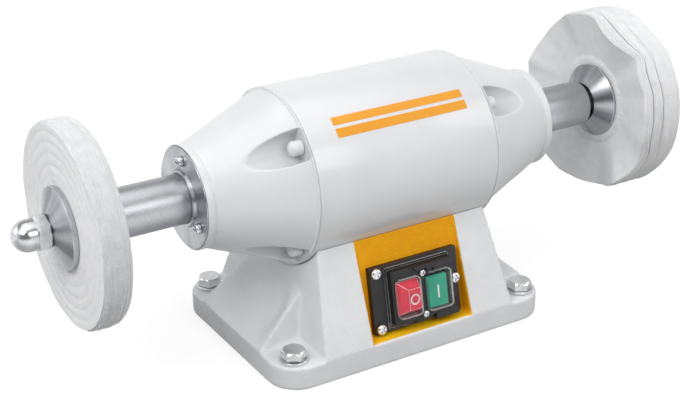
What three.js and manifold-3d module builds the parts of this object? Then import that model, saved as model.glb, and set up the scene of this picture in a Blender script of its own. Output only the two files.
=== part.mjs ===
// Bench polishing machine: an induction motor on a cast base, with a cotton buff at each spindle end.
// Millimetres and degrees. +Z is up, X runs along the spindle, -Y faces the person at the switch.
// The origin is on the bench top, under the middle of the base.
import * as THREE from 'three';
import { mergeVertices } from 'three/addons/utils/BufferGeometryUtils.js';
import Module from 'manifold-3d';

const wasm = await Module();
wasm.setup();

// Fits that every piece shares
const seatGap = 0.3;
const cutOverrun = 2;
const smoothSides = 32;
const mediumSides = 20;
const smallSides = 10;
const holeSides = 8;
const cornerSteps = 2;
const domeSteps = 4;

// Spindle and motor housing
const spindleHeight = 134.3;
const housingRadius = 67.5;
const housingWall = 3.5;
const housingLength = 155.6;
const leadHoleRadius = 6;

// End bells, which taper from the housing to the bearing
const bellLength = 71.9;
const bellRimBand = 1.5;
const bellRimStep = 1.8;
const bellLipWall = 0.85;
const bellLipLength = 5.7;
const bellLipRise = 2.2;
const bellLipStep = 0.85;
const bellWall = 2.5;
const bellSpigotLength = 5;
const bellHollowNeckRadius = 36;
const bellKneeShare = 0.47;

// Tie rods and the pockets that their cap heads sit in
const tieRodRadius = 2.5;
const tieRodFirstAngle = 48;
const tieRodCount = 4;
const tieHeadRadius = 5.6;
const tieHeadLength = 10;
const tieHeadCrown = 3.5;
const tieHeadGap = 3.4;
const pocketRadius = 12.5;
const pocketInset = 6.5;

// Bearings, a 20 x 47 x 14 ball bearing in each bell
const bearingWidth = 14;
const bearingRadius = 23.5;
const bearingRingWall = 4;
const bearingInset = 0.7;
const bearingShield = 1;
const bearingRunningGap = 0.5;
const bearingShoulder = 4;

// Bearing covers with their screws
const coverLand = 14.6;
const coverThickness = 2.9;
const coverShoulderWall = 2.65;
const coverShoulderLength = 2.5;
const coverScrewInset = 9.5;
const coverScrewFirstAngle = 90;
const coverScrewCount = 3;
const machineScrewRadius = 2;
const machineScrewLength = 10;
const screwHeadRadius = 3.9;
const screwHeadHeight = 2.9;
const springWasherHeight = 1.2;
const screwSlotWidth = 1.1;
const screwSlotDepth = 1.3;

// Sleeve tubes that stand still round the spindle
const tubeInset = 5.05;
const tubeWall = 2.95;
const tubeReach = 56;
const runningSlot = 5.2;

// Spindle
const shaftRadius = 10;
const shaftEndRadius = 7.7;
const shaftEndClearance = 2;

// Clamping flanges of the buffs
const flangeRimRadius = 30;
const flangeRimBand = 1.7;
const innerFlangeLength = 11.5;
const innerFlangeNeckRadius = 16.2;
const outerFlangeLength = 10.9;
const outerFlangeNeckRadius = 13.1;

// Cap nuts, size M16
const nutAcrossFlats = 24;
const nutHexLength = 8.4;
const nutNeckLength = 5.7;
const nutDomeStep = 0.4;
const nutCornerAngle = 155;

// Buffs
const buffRadius = 75;
const buffThickness = 18.9;
const buffEdgeRounding = 2.5;
const buffClampMargin = 3;
const foldSides = 36;
const plyBend = 1.6;

// Rotor, stator and windings
const rotorLength = 52;
const airGap = 0.6;
const statorThickness = 25.1;
const statorLength = 56;
const rodNotchGap = 1;
const windingStep = 3.4;
const windingRodGap = 2.5;
const windingLength = 26;
const windingRounding = 3;

// Base casting: the foot, the core above it and the saddle
const footLength = 240.6;
const footWidth = 167.8;
const footThickness = 18.6;
const footCornerRadius = 24;
const footCornerSteps = 6;
const footShelf = 35.3;
const coreTaper = 10.5;
const saddleDrop = 40;
const saddleWall = 8;
const endWall = 8;
const backWall = 14;
const recessWall = 7;

// Flares that run from the foot's ends up to the core
const flareLip = 1.1;
const flareBoltGap = 9.1;
const flareDraw = 9;
const flareRidgeRise = 37.8;
const flareMiddleRise = 41.6;
const flareSag = 9;
const flareBlend = 15;
const flareSteps = 6;
const flareColumns = 10;

// Recess for the switch in the core's front
const recessLeft = 43;
const recessRight = 46;
const recessFloorRise = 0.9;
const recessDepth = 14.4;

// Mounting bolts, M10 with washers
const boltEdgeX = 17.05;
const boltEdgeY = 15.8;
const boltRadius = 4.9;
const boltTipRise = 1.7;
const boltAcrossFlats = 17;
const boltHeadHeight = 6.6;
const boltHoleGap = 0.6;
const washerRadius = 11;
const washerThickness = 1.9;

// Bolts that hold the housing down on the saddle
const saddleBoltInset = 22.5;
const saddleBoltRadius = 3;
const saddleBoltAcrossFlats = 10;
const saddleBoltHeadHeight = 4;

// Bottom tray and what stands on it
const trayRise = 1;
const traySheet = 1.5;
const trayRim = 6;
const capacitorRadius = 14;
const capacitorLength = 55;
const capacitorMargin = 13.5;
const capacitorY = 34;
const capacitorRounding = 1.5;
const terminalLength = 44;
const terminalWidth = 18;
const terminalHeight = 14;
const terminalMargin = 19;
const terminalMarginFront = 8;
const terminalSlotCount = 4;
const terminalSlotWidth = 5;
const terminalSlotDepth = 6;

// Cable gland in the back wall
const glandX = -48;
const glandHeight = 45;
const glandFaceRise = 12;
const glandBoreRadius = 4;
const glandThreadRadius = 8;
const glandFlangeRadius = 11;
const glandFlangeLength = 3;
const glandHexAcrossFlats = 19;
const glandHexLength = 4;
const glandCapRadius = 7.5;
const glandCapLength = 4;
const glandSpotMargin = 1.5;

// Switch, measured in the recess: across it, then up its back plane, then off that plane.
// Each piece is placed by its margins to the piece that it lies in.
const plateMarginLeft = 7;
const plateMarginRight = 4;
const plateLow = 0.7;
const plateHeight = 52.3;
const plateThickness = 5;
const plateCornerRadius = 2;
const plateScrewInsetX = 5;
const plateScrewInsetTop = 4.7;
const plateScrewInsetBottom = 3.8;
const plateScrewLength = 12;
const plateSideScrewInset = 3.9;
const plateSideScrewRise = 27.4;
const coverSheet = 0.8;
const coverFlangeMarginLeft = 11.7;
const coverFlangeMarginRight = 8.3;
const coverFlangeMarginLow = 1.4;
const coverFlangeMarginHigh = 2.2;
const coverClearance = 0.7;
const coverTaper = 0.4;
const bezelMarginLeft = 2.6;
const bezelMarginRight = 0.3;
const bezelMarginLow = 3.8;
const bezelMarginHigh = 2.4;
const bezelHeight = 5.3;
const bezelChamfer = 1.2;
const bezelRibHeight = 2.4;
const bezelRibWidth = 4.2;
const lobeMarginSide = 2.7;
const lobeMarginLow = 3.7;
const lobeMarginHigh = 7.2;
const lobeCornerRadius = 4;
const stopLobeWidth = 21.9;
const bezelBridge = 4.8;
const bezelScrewRise = 0.5;
const bezelScrewRadius = 1.3;
const bezelScrewHeadRadius = 2.4;
const bezelScrewHeadHeight = 1.8;
const bezelScrewLength = 11;
const switchMarginLeft = 3;
const switchMarginRight = 2.7;
const switchMarginLow = 2.9;
const switchMarginHigh = 2.7;
const switchDepth = 22;
const switchHoleMargin = 1.5;
const buttonTravel = 2.5;
const buttonStemRadius = 3;
const buttonStemLength = 9;
const stopMarginLeft = 1.6;
const stopMarginRight = 1.5;
const stopMarginLow = 2.6;
const stopMarginHigh = 2.6;
const stopSkirt = 1.2;
const stopHeight = 6.6;
const stopBevelLeft = 8;
const stopBevelHigh = 6.5;
const stopBevelLow = 3.5;
const startMarginLeft = 2.2;
const startMarginRight = 4;
const startMarginLow = 2.4;
const startMarginHigh = 4.8;
const startHeight = 3.4;
const startBevel = 1.5;

// Radii that follow from those above
const housingBore = housingRadius - housingWall;
const spigotRadius = housingBore - seatGap;
const pocketCircle = housingRadius - pocketInset;
const tieRodCircle = pocketCircle - pocketRadius + tieHeadGap + tieHeadRadius;
const rodHoleRadius = tieRodRadius + seatGap;
const bellHollowRadius = pocketCircle - pocketRadius - bellWall;
const bearingBoreRadius = shaftRadius + seatGap;
const bearingSeatRadius = bearingRadius + seatGap;
const bearingInnerRadius = bearingBoreRadius + bearingRingWall;
const bearingShieldRadius = bearingInnerRadius + bearingRunningGap;
const tubeRadius = bearingRadius - tubeInset;
const coverRadius = bearingRadius + coverLand;
const coverShoulderRadius = tubeRadius + coverShoulderWall;
const coverScrewCircle = coverRadius - coverScrewInset;
const bellLipBore = coverRadius + seatGap;
const bellLipRadius = bellLipBore + bellLipWall;
const flangeBore = shaftEndRadius + seatGap;
const buffClampRadius = flangeRimRadius + buffClampMargin;
const nutDomeRadius = nutAcrossFlats / 2 - nutDomeStep;
const statorBoreRadius = spigotRadius - statorThickness;
const rotorRadius = statorBoreRadius - airGap;
const windingInnerRadius = statorBoreRadius + windingStep;
const windingOuterRadius = tieRodCircle - tieRodRadius - windingRodGap;
const saddleRadius = housingRadius + seatGap;
const boltHoleRadius = boltRadius + boltHoleGap;
const glandSpotRadius = glandFlangeRadius + glandSpotMargin;

// Stations along the spindle, counted from the middle of the housing and the same to both sides
const bellStart = housingLength / 2 + seatGap;
const bellEnd = bellStart + bellLength;
const pocketStart = bellStart + bellRimBand;
const bearingOuterFace = bellEnd - bearingInset;
const bearingInnerFace = bearingOuterFace - bearingWidth;
const coverInner = bellEnd + seatGap;
const coverOuter = coverInner + coverThickness;
const tubeStart = bearingOuterFace + seatGap;
const tubeEnd = coverOuter + tubeReach;
const innerFlangeStart = tubeEnd + runningSlot;
const innerFlangeEnd = innerFlangeStart + innerFlangeLength;
const buffStart = innerFlangeEnd + seatGap;
const buffEnd = buffStart + buffThickness;
const outerFlangeStart = buffEnd + seatGap;
const outerFlangeEnd = outerFlangeStart + outerFlangeLength;
const nutStart = outerFlangeEnd + seatGap;
const nutHexEnd = nutStart + nutHexLength;
const nutDomeCentre = nutHexEnd + nutNeckLength;
const shaftShoulder = innerFlangeStart - seatGap;
const shaftEnd = nutDomeCentre - shaftEndClearance;

// Heights and planes of the base
const coreTop = spindleHeight - saddleDrop;
const coreHalfLength = footLength / 2 - footShelf;
const coreTopHalfLength = coreHalfLength - coreTaper;
const coreHalfWidth = footWidth / 2;
const coreTopHalfWidth = Math.sqrt(housingRadius ** 2 - saddleDrop ** 2);
const recessFloor = footThickness + recessFloorRise;
const recessBackDepth = coreHalfWidth - recessDepth;
const recessTilt = Math.atan2(recessBackDepth - coreTopHalfWidth, coreTop - recessFloor);

// Places on the foot and in the base
const boltX = footLength / 2 - boltEdgeX;
const boltY = footWidth / 2 - boltEdgeY;
const flareHalfWidth = boltY - washerRadius - flareBoltGap;
const flareTopHalfWidth = flareHalfWidth - flareDraw;
const saddleBoltOffset = coreTopHalfLength - saddleBoltInset;
const innerHalfLength = coreHalfLength - endWall;
const capacitorX = capacitorLength / 2 + capacitorMargin - innerHalfLength;
const terminalX = innerHalfLength - terminalMargin - terminalLength / 2;
const terminalY = recessWall + terminalMarginFront + terminalWidth / 2 - recessBackDepth;

// Sides of the switch's pieces: left and right in X, low and high up the recess's back plane
const plateLeft = plateMarginLeft - recessLeft;
const plateRight = recessRight - plateMarginRight;
const plateHigh = plateLow + plateHeight;
const plateScrewPlaces = [
  [plateLeft + plateScrewInsetX, plateHigh - plateScrewInsetTop],
  [plateLeft + plateScrewInsetX, plateLow + plateScrewInsetBottom],
  [plateRight - plateSideScrewInset, plateLow + plateSideScrewRise],
];
const coverFlangeLeft = plateLeft + coverFlangeMarginLeft;
const coverFlangeRight = plateRight - coverFlangeMarginRight;
const coverFlangeLow = plateLow + coverFlangeMarginLow;
const coverFlangeHigh = plateHigh - coverFlangeMarginHigh;
const bezelLeft = coverFlangeLeft + bezelMarginLeft;
const bezelRight = coverFlangeRight - bezelMarginRight;
const bezelLow = coverFlangeLow + bezelMarginLow;
const bezelHigh = coverFlangeHigh - bezelMarginHigh;
const lobeLow = bezelLow + lobeMarginLow;
const lobeHigh = bezelHigh - lobeMarginHigh;
const stopLobeLeft = bezelLeft + lobeMarginSide;
const stopLobeRight = stopLobeLeft + stopLobeWidth;
const startLobeLeft = stopLobeRight + bezelBridge;
const startLobeRight = bezelRight - lobeMarginSide;
const lobePairs = [[stopLobeLeft, stopLobeRight], [startLobeLeft, startLobeRight]];
const bezelScrewX = (stopLobeRight + startLobeLeft) / 2;
const bezelScrewPlaces = [[bezelScrewX, lobeHigh + bezelScrewRise], [bezelScrewX, lobeLow - bezelScrewRise]];
const switchLeft = stopLobeLeft + switchMarginLeft;
const switchRight = startLobeRight - switchMarginRight;
const switchLow = lobeLow + switchMarginLow;
const switchHigh = lobeHigh - switchMarginHigh;
const stopLeft = stopLobeLeft + stopMarginLeft;
const stopRight = stopLobeRight - stopMarginRight;
const stopLow = lobeLow + stopMarginLow;
const stopHigh = lobeHigh - stopMarginHigh;
const startLeft = startLobeLeft + startMarginLeft;
const startRight = startLobeRight - startMarginRight;
const startLow = lobeLow + startMarginLow;
const startHigh = lobeHigh - startMarginHigh;

// Heights of the switch's pieces off the back plane
const plateBack = seatGap;
const plateFront = plateBack + plateThickness;
const coverFlangeBack = plateFront + seatGap;
const bezelBack = coverFlangeBack + coverSheet + seatGap;
const bezelTop = bezelBack + bezelHeight;
const buttonFoot = plateFront + buttonTravel + 2 * seatGap;
const stopTop = buttonFoot + stopHeight;
const startTop = buttonFoot + startHeight;
const coverTop = stopTop + coverClearance + coverSheet;

// Straight line through (fromZ, fromValue) and (toZ, toValue), read at a height
function lineAt(z, fromZ, fromValue, toZ, toValue) {
  const share = (z - fromZ) / (toZ - fromZ);
  return fromValue + (toValue - fromValue) * share;
}

function coreLengthAt(z) {
  return lineAt(z, footThickness, coreHalfLength, coreTop, coreTopHalfLength);
}

function coreWidthAt(z) {
  return lineAt(z, footThickness, coreHalfWidth, coreTop, coreTopHalfWidth);
}

function recessDepthAt(z) {
  return lineAt(z, recessFloor, recessBackDepth, coreTop, coreTopHalfWidth);
}

// Point on a circle in the plane across the spindle, by its angle from +Y towards +Z
function acrossSpindle(radius, degrees) {
  const angle = THREE.MathUtils.degToRad(degrees);
  return [radius * Math.cos(angle), radius * Math.sin(angle)];
}

// Solids

function welded(geometry) {
  const bare = geometry.clone();
  bare.deleteAttribute('normal');
  bare.deleteAttribute('uv');
  return mergeVertices(bare);
}

function signedVolume(geometry) {
  const place = geometry.attributes.position;
  const order = geometry.index;
  const a = new THREE.Vector3();
  const b = new THREE.Vector3();
  const c = new THREE.Vector3();
  let sum = 0;
  for (let i = 0; i < order.count; i += 3) {
    a.fromBufferAttribute(place, order.getX(i));
    b.fromBufferAttribute(place, order.getX(i + 1));
    c.fromBufferAttribute(place, order.getX(i + 2));
    sum += a.dot(b.cross(c));
  }
  return sum / 6;
}

// Turns every face outwards, if the outline was drawn the other way round
function outward(geometry) {
  const closed = welded(geometry);
  if (signedVolume(closed) > 0) {
    return closed;
  }
  const order = closed.index.array;
  for (let i = 0; i < order.length; i += 3) {
    const kept = order[i];
    order[i] = order[i + 1];
    order[i + 1] = kept;
  }
  return closed;
}

function solidOf(geometry) {
  const closed = outward(geometry);
  const vertProperties = new Float32Array(closed.attributes.position.array);
  const triVerts = new Uint32Array(closed.index.array);
  return new wasm.Manifold(new wasm.Mesh({ numProp: 3, vertProperties, triVerts }));
}

function geometryOf(solid) {
  const mesh = solid.getMesh();
  const geometry = new THREE.BufferGeometry();
  const places = new Float32Array(mesh.vertProperties);
  geometry.setAttribute('position', new THREE.BufferAttribute(places, mesh.numProp));
  geometry.setIndex(new THREE.BufferAttribute(new Uint32Array(mesh.triVerts), 1));
  return geometry;
}

function cut(solid, ...cutters) {
  return cutters.reduce((left, cutter) => left.subtract(cutter), solid);
}

function join(solid, ...others) {
  return others.reduce((whole, other) => whole.add(other), solid);
}

// Round solid about the X axis, from a profile of [x, radius] points
function turned(profile, sides) {
  const points = profile.map(([x, radius]) => new THREE.Vector2(radius, x));
  const geometry = new THREE.LatheGeometry(points, sides);
  geometry.rotateZ(-Math.PI / 2);
  return solidOf(geometry);
}

// Quarter of an ellipse, as profile points from its full radius down to the axis
function crown(fromX, length, radius, steps) {
  const points = [];
  for (let i = 0; i < steps; i += 1) {
    const angle = (i * Math.PI) / (2 * steps);
    points.push([fromX + length * Math.sin(angle), radius * Math.cos(angle)]);
  }
  points.push([fromX + length, 0]);
  return points;
}

// Ring about the X axis: its profile closes on itself
function ring(profile, sides) {
  return turned([...profile, profile[0]], sides);
}

// Rod along X between two stations, at a place across the spindle
function rod(fromX, toX, radius, sides, y = 0, z = 0) {
  const geometry = new THREE.CylinderGeometry(radius, radius, Math.abs(toX - fromX), sides);
  geometry.rotateZ(Math.PI / 2);
  geometry.translate((fromX + toX) / 2, y, z);
  return solidOf(geometry);
}

// Post along Z between two heights
function post(fromZ, toZ, radius, sides, x = 0, y = 0) {
  const geometry = new THREE.CylinderGeometry(radius, radius, Math.abs(toZ - fromZ), sides);
  geometry.rotateX(Math.PI / 2);
  geometry.translate(x, y, (fromZ + toZ) / 2);
  return solidOf(geometry);
}

// Hexagonal post along Z, by its width across the flats
function hexPost(fromZ, toZ, acrossFlats, x = 0, y = 0) {
  const cornerRadius = acrossFlats / Math.sqrt(3);
  return post(fromZ, toZ, cornerRadius, 6, x, y);
}

function box(fromX, toX, fromY, toY, fromZ, toZ) {
  const geometry = new THREE.BoxGeometry(toX - fromX, toY - fromY, toZ - fromZ);
  geometry.translate((fromX + toX) / 2, (fromY + toY) / 2, (fromZ + toZ) / 2);
  return solidOf(geometry);
}

// Solid between two level rectangles, each [fromX, toX, fromY, toY]
function prismoid(lowRectangle, lowZ, highRectangle, highZ) {
  const corners = [[0, 2], [1, 2], [1, 3], [0, 3]];
  const points = [];
  for (const [rectangle, z] of [[lowRectangle, lowZ], [highRectangle, highZ]]) {
    for (const [xEnd, yEnd] of corners) {
      points.push(rectangle[xEnd], rectangle[yEnd], z);
    }
  }
  const faces = [0, 2, 1, 0, 3, 2, 4, 5, 6, 4, 6, 7];
  for (let i = 0; i < 4; i += 1) {
    const next = (i + 1) % 4;
    faces.push(i, next, next + 4, i, next + 4, i + 4);
  }
  return meshSolid(points, faces);
}

function meshSolid(points, faces) {
  const geometry = new THREE.BufferGeometry();
  geometry.setAttribute('position', new THREE.Float32BufferAttribute(points, 3));
  geometry.setIndex(faces);
  return solidOf(geometry);
}

function roundedRectangle(fromX, toX, fromY, toY, radius) {
  const shape = new THREE.Shape();
  shape.absarc(toX - radius, toY - radius, radius, 0, Math.PI / 2);
  shape.absarc(fromX + radius, toY - radius, radius, Math.PI / 2, Math.PI);
  shape.absarc(fromX + radius, fromY + radius, radius, Math.PI, Math.PI * 1.5);
  shape.absarc(toX - radius, fromY + radius, radius, Math.PI * 1.5, Math.PI * 2);
  return shape;
}

// Plate with a level outline, between two heights
function slab(shape, fromZ, toZ, curveSegments) {
  const settings = { depth: toZ - fromZ, bevelEnabled: false, curveSegments };
  const geometry = new THREE.ExtrudeGeometry(shape, settings);
  geometry.translate(0, 0, fromZ);
  return solidOf(geometry);
}

// Solid between two like outlines at two heights, the upper one drawn in by an inset
function taperedSlab(shapeAt, fromZ, toZ, inset, curveSegments) {
  const low = shapeAt(0).getPoints(curveSegments);
  const high = shapeAt(inset).getPoints(curveSegments);
  const count = low.length;
  const points = [];
  low.forEach((point) => points.push(point.x, point.y, fromZ));
  high.forEach((point) => points.push(point.x, point.y, toZ));
  const faces = [];
  for (const [a, b, c] of THREE.ShapeUtils.triangulateShape(low, [])) {
    faces.push(a, c, b, a + count, b + count, c + count);
  }
  for (let i = 0; i < count; i += 1) {
    const next = (i + 1) % count;
    faces.push(i, next, next + count, i, next + count, i + count);
  }
  return meshSolid(points, faces);
}

// Closed grid: rows of points that join row to row, and each row to itself
function hoop(rows) {
  const width = rows[0].length;
  const faces = [];
  rows.forEach((row, i) => {
    const next = (i + 1) % rows.length;
    for (let j = 0; j < width; j += 1) {
      const k = (j + 1) % width;
      faces.push(i * width + j, next * width + j, next * width + k);
      faces.push(i * width + j, next * width + k, i * width + k);
    }
  });
  return meshSolid(rows.flat(2), faces);
}

// Finishes

function finish(color, roughness, metalness) {
  return { color, roughness, metalness };
}

const whiteEnamel = finish('#e9eaeb', 0.35, 0);
const castPaint = finish('#dcdddf', 0.6, 0);
const zincPlate = finish('#9a9da2', 0.4, 1);
const machinedSteel = finish('#a9adb1', 0.3, 1);
const brightNut = finish('#c9cccf', 0.2, 1);
const blackPlastic = finish('#2a2a2c', 0.5, 0);
const clearVinyl = finish('#dfe4e6', 0.15, 0);
const redPlastic = finish('#d9344a', 0.4, 0);
const greenPlastic = finish('#2ba284', 0.4, 0);
const whiteCotton = finish('#f0f0ee', 0.95, 0);
const laminations = finish('#6d6f72', 0.6, 1);
const copperWire = finish('#a8622f', 0.45, 1);
const creamPlastic = finish('#d8d2bf', 0.5, 0);
const trayPaint = finish('#4a4c4f', 0.6, 0);

const machine = new THREE.Group();
const spindleGroup = new THREE.Group();
spindleGroup.position.z = spindleHeight;
machine.add(spindleGroup);

// The switch group lies on the recess's back plane, with its Z up the plane and -Y off it
const switchGroup = new THREE.Group();
switchGroup.position.set(0, -recessBackDepth, recessFloor);
switchGroup.rotation.x = -recessTilt;
machine.add(switchGroup);
switchGroup.updateMatrixWorld();

function addPiece(group, name, solid, look) {
  const mesh = new THREE.Mesh(geometryOf(solid), new THREE.MeshStandardMaterial(look));
  mesh.name = name;
  group.add(mesh);
}

// Cutter drawn in the switch group, moved to where it meets the casting
function inRecess(solid) {
  const geometry = geometryOf(solid);
  geometry.applyMatrix4(switchGroup.matrixWorld);
  return solidOf(geometry);
}

// Base casting

// One end's flare: a concave skin between two straight ridges, over the foot's end
function flare(side) {
  const topRows = [];
  const buriedX = 2 * coreTopHalfLength - coreHalfLength;
  for (let column = 0; column <= flareColumns; column += 1) {
    const across = (2 * column) / flareColumns - 1;
    const fromRidge = (1 - Math.abs(across)) * flareHalfWidth;
    const blend = THREE.MathUtils.smoothstep(fromRidge, 0, flareBlend);
    const rise = lineAt(blend, 0, flareRidgeRise, 1, flareMiddleRise);
    const topZ = footThickness + rise;
    const lowPoint = [footLength / 2, across * flareHalfWidth, footThickness + flareLip];
    const highPoint = [coreLengthAt(topZ), across * flareTopHalfWidth, topZ];
    const run = lowPoint[0] - highPoint[0];
    const climb = highPoint[2] - lowPoint[2];
    const chord = Math.hypot(run, climb);
    const row = [];
    for (let step = 0; step <= flareSteps; step += 1) {
      const share = step / flareSteps;
      const sag = 4 * share * (1 - share) * flareSag * blend;
      const x = lowPoint[0] - run * share - (sag * climb) / chord;
      const y = lineAt(share, 0, lowPoint[1], 1, highPoint[1]);
      const z = lowPoint[2] + climb * share - (sag * run) / chord;
      row.push([side * x, y, z]);
    }
    row.push([side * buriedX, highPoint[1], topZ]);
    topRows.push(row);
  }
  const width = flareSteps + 2;
  const rows = topRows.length;
  const buried = footThickness / 2;
  const points = topRows.flat(2);
  topRows.forEach((row) => row.forEach(([x]) => points.push(x, row[0][1], buried)));
  const faces = [];
  const under = rows * width;
  for (let i = 0; i < rows - 1; i += 1) {
    for (let j = 0; j < width - 1; j += 1) {
      const a = i * width + j;
      const b = a + width;
      faces.push(a, b, b + 1, a, b + 1, a + 1);
      faces.push(under + a, under + b + 1, under + b, under + a, under + a + 1, under + b + 1);
    }
  }
  const rim = [];
  for (let j = 0; j < width - 1; j += 1) {
    rim.push([j, j + 1]);
    rim.push([(rows - 1) * width + j + 1, (rows - 1) * width + j]);
  }
  for (let i = 0; i < rows - 1; i += 1) {
    rim.push([(i + 1) * width, i * width]);
    rim.push([i * width + width - 1, (i + 1) * width + width - 1]);
  }
  rim.forEach(([a, b]) => faces.push(a, b, under + b, a, under + b, under + a));
  return meshSolid(points, faces);
}

// Rectangle of the casting's inside at a height, drawn in by an inset
function hollowRectangle(z, inset) {
  const halfLength = coreLengthAt(z) - endWall - inset;
  const front = -recessDepthAt(z) + recessWall + inset;
  const back = coreWidthAt(z) - backWall - inset;
  return [-halfLength, halfLength, front, back];
}

function baseHollow() {
  const lowZ = -cutOverrun;
  const room = prismoid(hollowRectangle(lowZ, 0), lowZ, hollowRectangle(coreTop, 0), coreTop);
  const shell = rod(-footLength / 2, footLength / 2, saddleRadius + saddleWall, smoothSides, 0, spindleHeight);
  return room.subtract(shell);
}

// Recess that opens forwards and upwards, with a sloping back
function recessCutter() {
  const outline = new THREE.Shape();
  const frontY = -coreHalfWidth - cutOverrun;
  outline.moveTo(-recessBackDepth, recessFloor);
  outline.lineTo(frontY, recessFloor);
  outline.lineTo(frontY, coreTop);
  outline.lineTo(-coreTopHalfWidth, coreTop);
  const settings = { depth: recessLeft + recessRight, bevelEnabled: false };
  const geometry = new THREE.ExtrudeGeometry(outline, settings);
  geometry.rotateY(Math.PI / 2);
  geometry.rotateX(Math.PI / 2);
  geometry.translate(-recessLeft, 0, 0);
  return solidOf(geometry);
}

function boltPlaces() {
  const places = [];
  for (const y of [-boltY, boltY]) {
    for (const x of [-boltX, boltX]) {
      places.push([x, y]);
    }
  }
  return places;
}

// The gland's face is level with the leaning back wall a little above the gland's axis
const glandFace = coreWidthAt(glandHeight + glandFaceRise);

// Rod along Y, for the gland and its hole
function crossRod(fromY, toY, radius, sides) {
  const geometry = new THREE.CylinderGeometry(radius, radius, toY - fromY, sides);
  geometry.translate(glandX, (fromY + toY) / 2, glandHeight);
  return solidOf(geometry);
}

function baseCasting() {
  const footShape = roundedRectangle(
    -footLength / 2, footLength / 2, -footWidth / 2, footWidth / 2, footCornerRadius);
  const foot = slab(footShape, 0, footThickness, footCornerSteps);
  const coreLow = [-coreHalfLength, coreHalfLength, -coreHalfWidth, coreHalfWidth];
  const coreHigh = [-coreTopHalfLength, coreTopHalfLength, -coreTopHalfWidth, coreTopHalfWidth];
  const core = prismoid(coreLow, footThickness, coreHigh, coreTop);
  const buriedCore = prismoid(coreLow, footThickness / 2, coreLow, footThickness);
  const body = join(foot, core, buriedCore, flare(-1), flare(1));
  const saddle = rod(-footLength / 2, footLength / 2, saddleRadius, smoothSides, 0, spindleHeight);
  const cutters = [saddle, baseHollow(), recessCutter()];
  for (const [x, y] of boltPlaces()) {
    cutters.push(post(-cutOverrun, footThickness + cutOverrun, boltHoleRadius, smallSides, x, y));
  }
  for (const x of [-saddleBoltOffset, saddleBoltOffset]) {
    cutters.push(post(trayRim, spindleHeight, saddleBoltRadius + seatGap, holeSides, x));
  }
  cutters.push(post(trayRim, spindleHeight, leadHoleRadius, smallSides));
  const bodyHole = box(
    switchLeft - switchHoleMargin, switchRight + switchHoleMargin,
    -cutOverrun, recessWall + cutOverrun,
    switchLow - switchHoleMargin, switchHigh + switchHoleMargin);
  cutters.push(inRecess(bodyHole));
  for (const [x, s] of plateScrewPlaces) {
    cutters.push(inRecess(offRod(-plateScrewLength, cutOverrun, machineScrewRadius + seatGap, holeSides, x, s)));
  }
  cutters.push(crossRod(0, coreHalfWidth, glandThreadRadius + seatGap, smallSides));
  cutters.push(crossRod(glandFace, coreHalfWidth + cutOverrun, glandSpotRadius, mediumSides));
  return cut(body, ...cutters);
}

// Fasteners

function mountingBolt(x, y) {
  const seat = footThickness + washerThickness + 2 * seatGap;
  const head = hexPost(seat, seat + boltHeadHeight, boltAcrossFlats, x, y);
  const shank = post(boltTipRise, seat + boltHeadHeight / 2, boltRadius, smallSides, x, y);
  return join(head, shank);
}

function washer(x, y) {
  const low = footThickness + seatGap;
  const disc = post(low, low + washerThickness, washerRadius, mediumSides, x, y);
  return disc.subtract(post(0, low + boltHeadHeight, boltHoleRadius, smallSides, x, y));
}

// Bolt from inside the base, up through the saddle into the housing's wall
function saddleBolt(x) {
  const underside = spindleHeight - saddleRadius - saddleWall - seatGap;
  const tip = spindleHeight - housingBore;
  const head = hexPost(underside - saddleBoltHeadHeight, underside, saddleBoltAcrossFlats, x);
  const shank = post(underside - saddleBoltHeadHeight / 2, tip, saddleBoltRadius, smallSides, x);
  return join(head, shank);
}

// Pan head screw along X, with its spring washer under the head
function coverScrew(side, y, z) {
  const seat = coverOuter + seatGap;
  const washerTop = seat + springWasherHeight;
  const headTop = washerTop + screwHeadHeight;
  const shank = rod(side * (seat - machineScrewLength), side * washerTop, machineScrewRadius, holeSides, y, z);
  const collar = rod(side * seat, side * washerTop, screwHeadRadius - seatGap, smallSides, y, z);
  const profile = [
    [side * washerTop, 0],
    [side * washerTop, screwHeadRadius],
    [side * (washerTop + screwHeadHeight / 2), screwHeadRadius],
    [side * headTop, screwHeadRadius / 2],
    [side * headTop, 0],
  ];
  const head = turned(profile, smallSides).translate([0, y, z]);
  const slotEnds = [side * (headTop - screwSlotDepth), side * (headTop + cutOverrun)];
  const slot = box(
    Math.min(...slotEnds), Math.max(...slotEnds),
    y - screwHeadRadius, y + screwHeadRadius, z - screwSlotWidth / 2, z + screwSlotWidth / 2);
  return join(shank, collar, head).subtract(slot);
}

// Tie rod through both bells, with a domed cap head on each end
function tieRod(y, z) {
  const headStart = pocketStart + seatGap;
  const headEnd = headStart + tieHeadLength;
  const heads = [-1, 1].map((side) => turned([
    [headStart, 0],
    [headStart, tieHeadRadius],
    ...crown(headEnd - tieHeadCrown, tieHeadCrown, tieHeadRadius, domeSteps / 2),
  ].map(([x, radius]) => [side * x, radius]), smallSides).translate([0, y, z]));
  const core = rod(-headStart - tieHeadRadius / 2, headStart + tieHeadRadius / 2, tieRodRadius, smallSides, y, z);
  return join(core, ...heads);
}

function tieRodPlaces(radius) {
  const places = [];
  for (let i = 0; i < tieRodCount; i += 1) {
    places.push(acrossSpindle(radius, tieRodFirstAngle + (i * 360) / tieRodCount));
  }
  return places;
}

function coverScrewPlaces() {
  const places = [];
  for (let i = 0; i < coverScrewCount; i += 1) {
    places.push(acrossSpindle(coverScrewCircle, coverScrewFirstAngle + (i * 360) / coverScrewCount));
  }
  return places;
}

// Motor

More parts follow.
